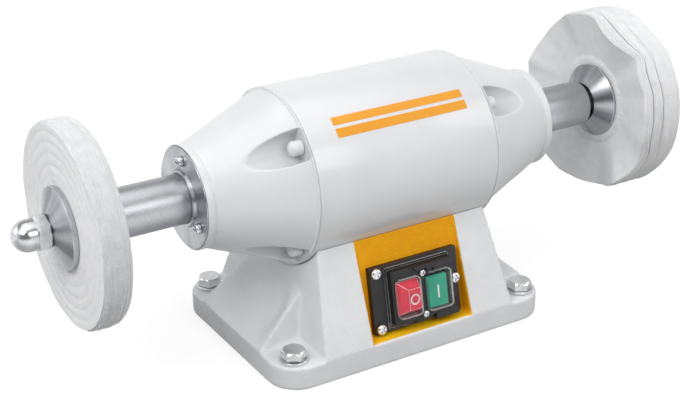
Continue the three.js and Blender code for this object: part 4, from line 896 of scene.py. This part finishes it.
def pan_head(name, radius, height, seat, turn=0.0):
    """A pan head with a cross slot, standing on its seat."""
    crown = [(0, 0), (0, radius - 0.3), (0.3, radius), (height * 0.45, radius)]
    arc = np.linspace(0, math.pi / 2, 7)[1:]
    crown += [(height * (0.45 + 0.55 * math.sin(a)), radius * (0.45 + 0.55 * math.cos(a))) for a in arc]
    head = turned(name, [*crown, (height, 0)], 40, seat, closed=False)
    reach, half = radius * 0.62, 0.6
    for angle in (turn, turn + 90):
        way = math.radians(angle)
        spin = np.array([[math.cos(way), math.sin(way), 0], [-math.sin(way), math.cos(way), 0], [0, 0, 1]])
        levels = [(0, height - 1.3), (0, height + 1)]
        carve(head, slab("slot", (-reach, reach, -half, half), 0.2, levels, (seat[0], spin @ seat[1])))
    return head


def spring_washer(name, radius, bore, thickness, seat):
    """A split ring."""
    ring = rounded([(0, bore), (0, radius, 0.2), (thickness, radius, 0.2), (thickness, bore)])
    split = slab("split", (0, radius + 1, -0.35, 0.35), 0.1, [(0, -1), (0, thickness + 1)], seat)
    return carve(turned(name, ring, 40, seat), split)


for side, word in ((-1, "left"), (1, "right")):
    facing = (np.zeros(3), SPINDLE[1] * np.array([[side], [1], [side]]))
    washer = spring_washer("washer", 4.0, 2.2, 1.1, facing)
    stack = joined("cover_screw", washer, pan_head("head", 3.9, 2.9, seat_at(facing, 0, 0, 1.15)))
    screws = grown(
        f"cover_screws_{word}", AROUND_SPINDLE, part=stack, count=3, circle=28.6 * MM,
        first=math.radians(90), station=side * 153.5 * MM, outwards=0.0, twist=TAU, seed=3 + side,
        finish=FASTENER_ZINC,
    )
    fitted(screws, None, "machine", "fastener_zinc", *[f"cover_screw_{word}_{k}" for k in (1, 2, 3)])
    dropped(stack)

bolt_head = finer(rounded([(21.1, 8.4), (21.1, 9.9, 0.2), (25.6, 9.9), (27.7, 7.9)], closed=False), 0.4)
bolt = np.vstack([[(1.7, 0), (1.7, 4.2), (2.5, 4.9), (21.1, 4.9)], bolt_head, [(27.7, 0)]])
bolt = turned("bolt", bolt, 96, UPRIGHT, closed=False, flats=17, crease=24)
washer = rounded([(18.9, 5.3, 0.2), (18.9, 11, 0.3), (20.8, 11, 0.5), (20.8, 5.3, 0.4)])
washer = turned("washer", washer, 64, UPRIGHT)
for name, part, twist, seed in (("bolt", bolt, TAU / 6, 5), ("washer", washer, TAU, 6)):
    four = grown(
        f"{name}s", BOLT_PATTERN, part=part, length=2 * BOLT_X * MM, width=2 * BOLT_Y * MM,
        twist=twist, seed=seed, finish=FASTENER_ZINC,
    )
    fitted(four, None, "machine", "fastener_zinc", *[f"mounting_{name}_{k}" for k in (1, 2, 3, 4)])
dropped(bolt, washer)

# Cable gland

FACE = 72.22
gland_ring = rounded([
    (54.9, 4), (54.9, 7.9, 0.5), (69.2, 8), (69.22, 11, 0.4), (FACE, 11, 0.6), (FACE, 9), (FACE, 4),
])
gland_nut = finer(rounded([(FACE, 9.6), (72.6, 11.4), (75.7, 11.4), (76.22, 9.4)], closed=False), 0.4)
gland_nut = np.vstack([[(FACE, 4.05)], gland_nut, [(76.22, 4.05)]])
gland_cap = rounded([(76.22, 4.1), (76.22, 7.5), (80.22, 7.5, 1.6), (80.22, 4.1, 0.5)])
gland = joined(
    "gland",
    turned("gland_ring", gland_ring, 64, GLAND),
    turned("gland_nut", gland_nut, 96, GLAND, flats=19, crease=24),
    turned("gland_cap", gland_cap, 64, GLAND),
)
fitted(gland, BLACK_PLASTIC, "machine", "black_plastic", "cable_gland")


# Switch

LOBES = ((-19, 2.9), (7.7, 30.7))
LOBE_LOW, LOBE_HIGH = 9.6, 41.2
SHEET = 0.8
FLANGE = (-24.3, 33.7, 2.1, 50.8)
BEAD_WIDTH = 1.7

plate = slab("plate", (-36, 42, 0.7, 53), 0.6, eased(0.3, 5.3, 0, 0.3), SWITCH)
carve(plate, slab("hole", (-16.3, 28.3, 12.2, 38.8), 0.5, [(0, -1), (0, 7)], SWITCH))
fitted(plate, BLACK_PLASTIC, "machine", "black_plastic", "switch_plate")


def lobe(name, sides, inset, levels):
    """The part of the clear cover over one button, or the room in it."""
    left, right = sides
    outline = (left + inset, right - inset, LOBE_LOW + inset, LOBE_HIGH - inset)
    return slab(name, outline, 4 - inset, levels, SWITCH, steps=8)


def lobe_levels(foot, top, rounding):
    """Levels of a lobe, which draws in a little as it rises."""
    sides = eased(6, top, 0, rounding, 8)
    return [(0, foot)] + [(inset + 0.35 * (height - 6) / 10, height) for inset, height in sides]


cover = slab("clear_cover", FLANGE, 2, eased(5.6, 6.4, 0, 0.3), SWITCH)
bead = slab("bead", FLANGE, 2, eased(5.7, 7.6, 0, 0.8), SWITCH)
within = np.array(FLANGE) + np.array([1, -1, 1, -1]) * BEAD_WIDTH
carve(bead, slab("within", within, 1, [(0, 5), (0, 9)], SWITCH))
carve(cover, bead, how="UNION")
for pair in LOBES:
    carve(cover, lobe("lobe", pair, 0, lobe_levels(5.6, 16.5, 2.5)), how="UNION")
for pair in LOBES:
    carve(cover, lobe("room", pair, SHEET, lobe_levels(5.0, 16.5 - SHEET, 1.9)))
fitted(cover, CLEAR_VINYL, "machine", "clear_vinyl", "button_cover")

# Clips that stand on the bezel: their top and their outline
CLIPS = (
    (14.4, (
        (-3.8, 48.2), (0.6, 43.3), (2.2, 45), (8.4, 45), (8.6, 42.2), (12.7, 42.2), (12.7, 44.3),
        (14.8, 44), (14.8, 41.8), (33.1, 44.1), (33.1, 46.3), (26.9, 48.2),
    )),
    (12.3, ((-3.3, 7), (1.9, 2.3), (2.6, 7))),
    (12.3, ((14.9, 7), (15.2, 2.2), (35.9, 2), (36.8, 4.6), (33, 8))),
)
bezel = slab("bezel", (-21.7, 33.4, 5.9, 48.4), 2, eased(6.7, 12, 0, 1.2), SWITCH)
clips = []
for top, outline in CLIPS:
    levels = [put(SWITCH, [(x, s, height) for x, s in outline]) for height in (8, top)]
    clips.append(softened(layered("clip", levels), 0.3))
carve(bezel, *clips, how="UNION")
for pair in LOBES:
    carve(bezel, lobe("window", pair, -0.3, [(0, 5), (0, 16)]))
fitted(bezel, BLACK_PLASTIC, "machine", "black_plastic", "switch_bezel")


def button(name, low, high, shoulder, top, rounding):
    """A button's skirt and the raised face that slopes up from it."""
    skirt = prismoid(name, low, 8.4, low, shoulder, SWITCH)
    carve(skirt, prismoid("raised", low, shoulder - 0.01, high, top, SWITCH), how="UNION")
    softened(skirt, rounding, 12)
    middle = seat_at(SWITCH, (low[0] + low[1]) / 2, (low[2] + low[3]) / 2)
    return carve(skirt, drill("stem", -0.6, 8.6, 3, 32, middle), how="UNION", crease=25)


stop = button("stop_cap", (-17.4, 1.4, 12.2, 38.6), (-9.4, 1.4, 15.7, 32.1), 9.6, 15, 0.5)
fitted(stop, RED_PLASTIC, "stop_push", "red_plastic", "stop_button")
start = button("start_cap", (9.9, 26.7, 12, 36.4), (11.4, 26.7, 12, 34.9), 10.3, 11.8, 0.35)
fitted(start, GREEN_PLASTIC, "start_push", "green_plastic", "start_button")

off_mark = rounded([(15.02, 2.9), (15.02, 4.25), (15.14, 4.2), (15.14, 2.95)])
off_mark = turned("off_mark", off_mark, 64, seat_at(SWITCH, -4.4, 23.7))
fitted(off_mark, MARK_INK, "stop_push", "red_plastic")
on_mark = slab("on_mark", (18.1, 19.5, 18.3, 28.7), 0.3, [(0, 11.82), (0, 11.94)], SWITCH)
fitted(on_mark, MARK_INK, "start_push", "green_plastic")

# Screws: what they hold, their radius, height, seat and turn, and their places
SWITCH_SCREWS = (
    ("plate", 4.2, 2.9, 5.6, lambda number: 25 * number, ((-31, 48.3), (-31, 4.5), (38.1, 28.1))),
    ("bezel", 2.6, 1.8, 12.3, lambda number: 10 + 40 * number, ((5.3, 41.7), (5.3, 9.1))),
)
for held, radius, height, rise, turn, places in SWITCH_SCREWS:
    for number, (x, s) in enumerate(places, 1):
        seat = seat_at(SWITCH, x, s, rise)
        screw = pan_head(f"{held}_screw_head_{number}", radius, height, seat, turn(number))
        fitted(screw, FASTENER_ZINC, "machine", "fastener_zinc", f"{held}_screw_{number}")


# Buffs

BUFF_INNER = 226.2
BUFF_THICKNESS = 18.9
BUFF_RADIUS = 75
BUFF_BORE = 8.2
# Just outside the flanges, which clamp the plies flat
CLAMP_EDGE = 31
STITCH_RINGS = (35.5, 43.5, 51.5, 59.5, 67.0)
STITCH_HEIGHT = 0.35
STITCH_PITCH = 4.6
STITCHED_PLIES = 30


def ripple(angles, seed, orders):
    """A wavy line round a buff, from sines whose phases are drawn from the seed."""
    draw = np.random.default_rng(seed)
    waves = [draw.uniform(0.4, 1) * np.sin(order * angles + draw.uniform(0, TAU)) for order in orders]
    return sum(waves) / math.sqrt(len(orders))


def stitched_buff(side):
    """A buff sewn in rings: each face sinks along its stitches, and the plies show at the rim."""
    angles = np.arange(400) * TAU / 400
    radii = np.r_[BUFF_BORE, 20, 30, np.arange(CLAMP_EDGE, 73.01, 0.75)]
    faces = []
    for outer in (False, True):
        face = []
        for radius in radii:
            dent = sum(math.exp(-((radius - ring) / 1.7) ** 2) for ring in STITCH_RINGS)
            ramp = min(1, max(0, (radius - CLAMP_EDGE) / 4))
            band = int(np.searchsorted(STITCH_RINGS, radius))
            uneven = 1 + 0.5 * ripple(angles, 60 + 10 * outer + band, (2, 3, 5, 9, 14))
            height = ramp * (STITCH_HEIGHT + 0.55 * max(0, 1 - dent) * uneven)
            station = BUFF_INNER + BUFF_THICKNESS + height if outer else BUFF_INNER - height
            face.append(hoop(radius, angles, station))
        faces.append(face)
    plies = STITCHED_PLIES
    width = (BUFF_THICKNESS + 1.4) / plies
    draw = np.random.default_rng(11)
    ragged = draw.uniform(-0.3, 0.1, plies) + np.repeat(draw.uniform(-0.55, 0.25, plies // 3), 3)
    rim = []
    for ply in range(plies):
        share = (ply + 0.5) / plies
        loose = 0.3 if ply in (0, 1, plies - 2, plies - 1) else 0.09
        fray = 0.18 * ripple(angles, 100 + ply // 3, (3, 5, 9))
        fray += loose * ripple(angles, 150 + ply, (17, 37, 61, 83))
        sway = 0.3 * ripple(angles, 7, (2, 5, 9)) + 0.08 * ripple(angles, 200 + ply, (11, 23))
        edge = BUFF_RADIUS - 1.9 * abs(2 * share - 1) ** 5 + ragged[ply] + fray
        middle = BUFF_INNER - 0.7 + (ply + 0.5) * width + sway
        for offset, depth in ((-0.5, 1.0), (-0.3, 0.1), (0.3, 0.0)):
            rim.append(hoop(edge - depth, angles, middle + offset * width))
    lines = faces[0] + rim + faces[1][::-1]
    points = np.concatenate(lines) * (1, 1, side)
    return solid("buff_stitched", put(SPINDLE, points), grid(len(lines), len(angles), ring=True), 70)


def thread_ends():
    """Short ends of thread scattered over a band round the spindle."""
    tree, given = growing("thread ends", Radius="Float", Station="Float", Width="Float", Density="Float")
    band = node(
        tree, "GeometryNodeMeshCylinder",
        {"Vertices": 96, "Radius": given["Radius"], "Depth": given["Width"]}, fill_type="NONE",
    )
    lying = stood(tree, given, band, (0, TAU / 4, 0))
    spread = node(
        tree, "GeometryNodeDistributePointsOnFaces",
        {"Mesh": lying, "Density": given["Density"], "Seed": given["Seed"]},
    )
    chance = node(
        tree, "FunctionNodeRandomValue", {0: (-1.5, -1.5, -3), 1: (1.5, 1.5, 3), "Seed": given["Seed"]},
        data_type="FLOAT_VECTOR",
    )
    return ended(tree, given, spread, chance)


UPRIGHT_THREAD = (np.zeros(3), np.array([[0, 1, 0], [1, 0, 0], [0, 0, 1]]))
stitch = turned("stitch", [(-1.5, 0), (-1.1, 0.3), (1.1, 0.3), (1.5, 0)], 6, UPRIGHT_THREAD, closed=False)
thread_end = turned("thread_end", [(-1.0, 0), (0, 0.26), (1.0, 0)], 4, UPRIGHT_THREAD, closed=False)


def stitch_ring(name, radius, station, seed):
    """A ring of stitches round the spindle."""
    count = round(TAU * radius / STITCH_PITCH)
    return grown(
        name, AROUND_SPINDLE, part=stitch, count=count, circle=radius * MM, first=0.1 * seed,
        station=station * MM, outwards=1.0, twist=0.12, seed=seed, finish=STITCHED_COTTON,
    )


buff = stitched_buff(-1)
fitted(buff, STITCHED_COTTON, "spindle", "stitched_cotton", "buff_left")
sewn = []
for station in (BUFF_INNER - STITCH_HEIGHT, BUFF_INNER + BUFF_THICKNESS + STITCH_HEIGHT):
    for radius in STITCH_RINGS:
        sewn.append(stitch_ring("stitch_ring", radius, -station, 20 + len(sewn)))
sewn.append(grown(
    "rim_threads", thread_ends(), part=thread_end, radius=(BUFF_RADIUS - 0.2) * MM,
    station=-(BUFF_INNER + BUFF_THICKNESS / 2) * MM, width=BUFF_THICKNESS * MM, density=90000.0, seed=8,
    finish=STITCHED_COTTON,
))
fitted(joined("buff_stitches", *sewn), STITCHED_COTTON, "spindle", "stitched_cotton")

# Where the loose buff is pushed aside: an angle, a share of its thickness and how far it spreads
FOLDS = (
    (50, 0.34, 15), (115, -0.5, 17), (136, 0.36, 7), (205, 0.22, 16),
    (228, -0.34, 12), (256, 0.42, 15), (305, -0.26, 16), (0, -0.08, 20),
    (318, 0.2, 7), (288, -0.12, 7), (244, -0.1, 6), (222, 0.1, 5), (190, -0.12, 8), (160, 0.1, 7),
    (92, 0.1, 8), (66, -0.14, 7), (32, 0.16, 8), (12, -0.14, 6), (338, -0.12, 8),
)
# Plies, then where the near and the far face lie at the hub and at the rim and how far they fold
BUNCHES = (
    (7, (0, -0.48, 1), (0.335, 0.04, 0.6)),
    (10, (0.345, 0.1, 0.55), (0.665, 0.6, 0.3)),
    (20, (0.675, 0.67, 0.3), (1, 1.62, 0.22)),
)
SEWN_RADIUS = 33
HUB_RADIUS = 30.3
HUB_DISC = 36.4


def fold_lift(degrees):
    """How far the folds push the plies aside at each angle."""
    lift = 0
    for at, share, spread in FOLDS:
        away = (degrees - at + 180) % 360 - 180
        lift = lift + share * np.exp(-((away / spread) ** 2))
    return BUFF_THICKNESS * lift


def loose_buff(side):
    """A buff sewn only near its hub: its plies hang together in three bunches and fall into folds."""
    degrees = np.arange(0, 360, 1.2)
    angles = np.radians(degrees)
    lift = fold_lift(degrees)
    fan = 2.6 * np.exp(-(((degrees - 125) / 13) ** 2))
    tooth = 0.5 * ripple(angles, 90, (41, 53, 67))
    inward = np.arange(38.5, 73, 1.9)
    points, faces = [], []

    def line(bunch, share, radius):
        near, far = map(np.array, BUNCHES[bunch][1:])
        clamp, rim, fold = near + (far - near) * share
        out = np.clip((radius - SEWN_RADIUS) / (BUFF_RADIUS - SEWN_RADIUS), 0, 1.1) ** 1.4
        sway = 0.22 * ripple(angles, 300 + 30 * bunch + round(4 * share), (3, 5, 7, 11)) * out
        aside = (BUFF_THICKNESS * (rim - clamp) + fold * lift) * out
        return hoop(radius, angles, BUFF_INNER + BUFF_THICKNESS * clamp + aside + sway)

    for bunch, (count, *_) in enumerate(BUNCHES):
        ragged = np.random.default_rng(30 + bunch).uniform(-0.6, 0.3, count)
        lines = [line(bunch, 0, radius) for radius in (BUFF_BORE, HUB_RADIUS)]
        if bunch == 0:
            raised = (0, 0, 0.5)
            lines.append(line(bunch, 0, CLAMP_EDGE) - raised)
            lines.append(line(bunch, 0, HUB_DISC - 0.3 + tooth) - raised)
            lines.append(line(bunch, 0, HUB_DISC + tooth))
        lines += [line(bunch, 0, radius) for radius in inward]
        gap = 1.0 + fan * (bunch == 0)
        for ply in range(count):
            share = (ply + 0.5) / count
            edge = BUFF_RADIUS - 0.5 - 1.0 * abs(2 * share - 1) ** 5 + ragged[ply]
            edge = edge + 0.35 * ripple(angles, 700 + 30 * bunch + ply // 4, (2, 3, 5, 8))
            edge = edge + 0.08 * ripple(angles, 900 + 30 * bunch + ply, (19, 37, 61))
            for offset, depth in ((-0.5, gap), (-0.3, 0.12), (0.3, 0)):
                lines.append(line(bunch, share + offset / count, edge - depth))
        lines += [line(bunch, 1, radius) for radius in (*inward[::-1], HUB_RADIUS, BUFF_BORE)]
        faces += grid(len(lines), len(angles), ring=True, first=sum(map(len, points)))
        points += lines
    points = np.concatenate(points) * (1, 1, side)
    return solid("buff_loose", put(SPINDLE, points), faces, 70)


buff = loose_buff(1)
fitted(buff, LOOSE_COTTON, "spindle", "loose_cotton", "buff_right")
hub_stitches = stitch_ring("hub_stitches", SEWN_RADIUS + 0.7, BUFF_INNER - 0.55, 40)
fitted(hub_stitches, LOOSE_COTTON, "spindle", "loose_cotton")
dropped(stitch, thread_end)


# CAD nodes that stay in sight or inside keep their shape and take a finish

KEPT = {
    "shaft": MACHINED_STEEL, "rotor_core": LAMINATIONS, "stator_core": LAMINATIONS,
    "winding_left": COPPER_WIRE, "winding_right": COPPER_WIRE,
    "bearing_inner_left": MACHINED_STEEL, "bearing_inner_right": MACHINED_STEEL,
    "bearing_outer_left": MACHINED_STEEL, "bearing_outer_right": MACHINED_STEEL,
    "saddle_bolt_left": FASTENER_ZINC, "saddle_bolt_right": FASTENER_ZINC,
    "bottom_tray": TRAY_PAINT, "capacitor": CAN_ALUMINIUM, "terminal_block": CREAM_PLASTIC,
    "switch_body": BLACK_PLASTIC,
}
for name, look in KEPT.items():
    nodes[name].data.materials.clear()
    nodes[name].data.materials.append(look)


# Floor, world and lamps

FLOOR_HALF = 4000
# The floor's glow where rays show the backdrop, and its lower glow beside the machine in gloss, a painted
# shade in the floor's reflection
FLOOR_GLOW = 0.72
FLOOR_GLOW_IN_PAINTED_SHADE = 0.2
# How bright the ceiling is at each height of a ray
CEILING = ((0.1, 1.0), (0.46, 0.85), (0.68, 0.35), (0.82, 0.35), (0.9, 1.6))
# Where the room behind the camera lies, how near to that a ray must point and how bright it is
ROOM_WAY = (-0.52, -0.85, 0.1)
ROOM_EDGE = (0.55, 0.85)
ROOM_TONE = 0.2
SKY_LIGHT = 0.74


def backdrop_rays(tree):
    """One for the rays that show the backdrop: seen by the camera, in gloss or through the cover."""
    path = node(tree, "ShaderNodeLightPath").outputs
    seen = path["Is Camera Ray"]
    for kind in ("Is Glossy Ray", "Is Transmission Ray"):
        seen = node(tree, "ShaderNodeMath", [seen, path[kind]], operation="MAXIMUM")
    return seen


# A pale grey sheet that the camera sees raised to white, with the machine's shadow left on it; in gloss it
# glows less beside the machine, a painted shade
paper, tree, place = started("matt paper sweep")
ways = node(tree, "ShaderNodeSeparateXYZ", [place]).outputs
beside = node(tree, "ShaderNodeMath", [ways["Y"]], operation="ABSOLUTE")
# Beside the machine the glow in gloss drops: painted shade in reflections of the floor.
under = node(tree, "ShaderNodeMapRange", [beside, 0.06, 0.2, FLOOR_GLOW_IN_PAINTED_SHADE, FLOOR_GLOW])
glossy = node(tree, "ShaderNodeLightPath").outputs["Is Glossy Ray"]
glow_with_painted_shade = node(tree, "ShaderNodeMix", [glossy, FLOOR_GLOW, under], data_type="FLOAT")
shaded(paper, {
    "Base Color": srgb("#A8A8A8"), "Roughness": 0.9, "Normal": grained(tree, place, 40.0, 0.05, 0.5),
    "Emission Color": (1, 1, 1, 1),
    "Emission Strength": node(tree, "ShaderNodeMath", [backdrop_rays(tree), glow_with_painted_shade], operation="MULTIPLY"),
})
corners = [(x * FLOOR_HALF, y * FLOOR_HALF, 0) for x, y in ((-1, -1), (1, -1), (1, 1), (-1, 1))]
floor = solid("floor", corners, [(0, 1, 2, 3)])
floor.data.materials.append(paper)

# The studio: light from above, a white horizon under a darker ceiling, and a dim room behind the camera
world = bpy.data.worlds.new("studio")
world.use_nodes = True
tree = world.node_tree
tree.nodes.clear()
way = node(tree, "ShaderNodeTexCoord").outputs["Generated"]
height = node(tree, "ShaderNodeSeparateXYZ", [way]).outputs["Z"]
stops = [(at, (tone, tone, tone, 1)) for at, tone in CEILING]
ceiling = node(tree, "ShaderNodeValToRGB", [height], stops=stops)
facing = node(tree, "ShaderNodeVectorMath", [way, ROOM_WAY], operation="DOT_PRODUCT")
room = node(tree, "ShaderNodeMapRange", [facing, *ROOM_EDGE, 1.0, ROOM_TONE])
glossy = node(tree, "ShaderNodeLightPath").outputs["Is Glossy Ray"]
dim = node(tree, "ShaderNodeMix", [glossy, 1.0, room], data_type="FLOAT")
above = node(tree, "ShaderNodeMapRange", [height, 0.2, 0.6])
soft = node(tree, "ShaderNodeBackground", {"Color": above, "Strength": SKY_LIGHT})
white = node(tree, "ShaderNodeBackground", {"Color": ceiling, "Strength": dim})
both = node(tree, "ShaderNodeMixShader", [backdrop_rays(tree), soft, white])
node(tree, "ShaderNodeOutputWorld", {"Surface": both})
bpy.context.scene.world = world

# Lamps: where each stands, what it faces, its width and its power
LAMPS = {
    "front": ((0.1, -1.35, 0.95), (0, 0, 0.1), 1.0, 4.8),
    "left": ((-1.1, -0.4, 1.2), (-0.1, 0, 0.1), 0.9, 9.1),
    "right": ((1.3, -0.7, 0.9), (0, 0, 0.1), 0.9, 3.8),
    "rear": ((-1.3, 0.7, 0.7), (-0.1, 0, 0.05), 0.9, 2.2),
}
for name, (place, aim, width, power) in LAMPS.items():
    softbox = bpy.data.lights.new(name, "AREA")
    softbox.shape = "RECTANGLE"
    softbox.size, softbox.size_y = width, 0.7
    softbox.energy = power
    lamp = bpy.data.objects.new(name, softbox)
    turn = (Vector(place) - Vector(aim)).to_track_quat("Z", "Y")
    lamp.matrix_world = Matrix.Translation(place) @ turn.to_matrix().to_4x4()
    bpy.context.scene.collection.objects.link(lamp)

bpy.context.view_layer.update()
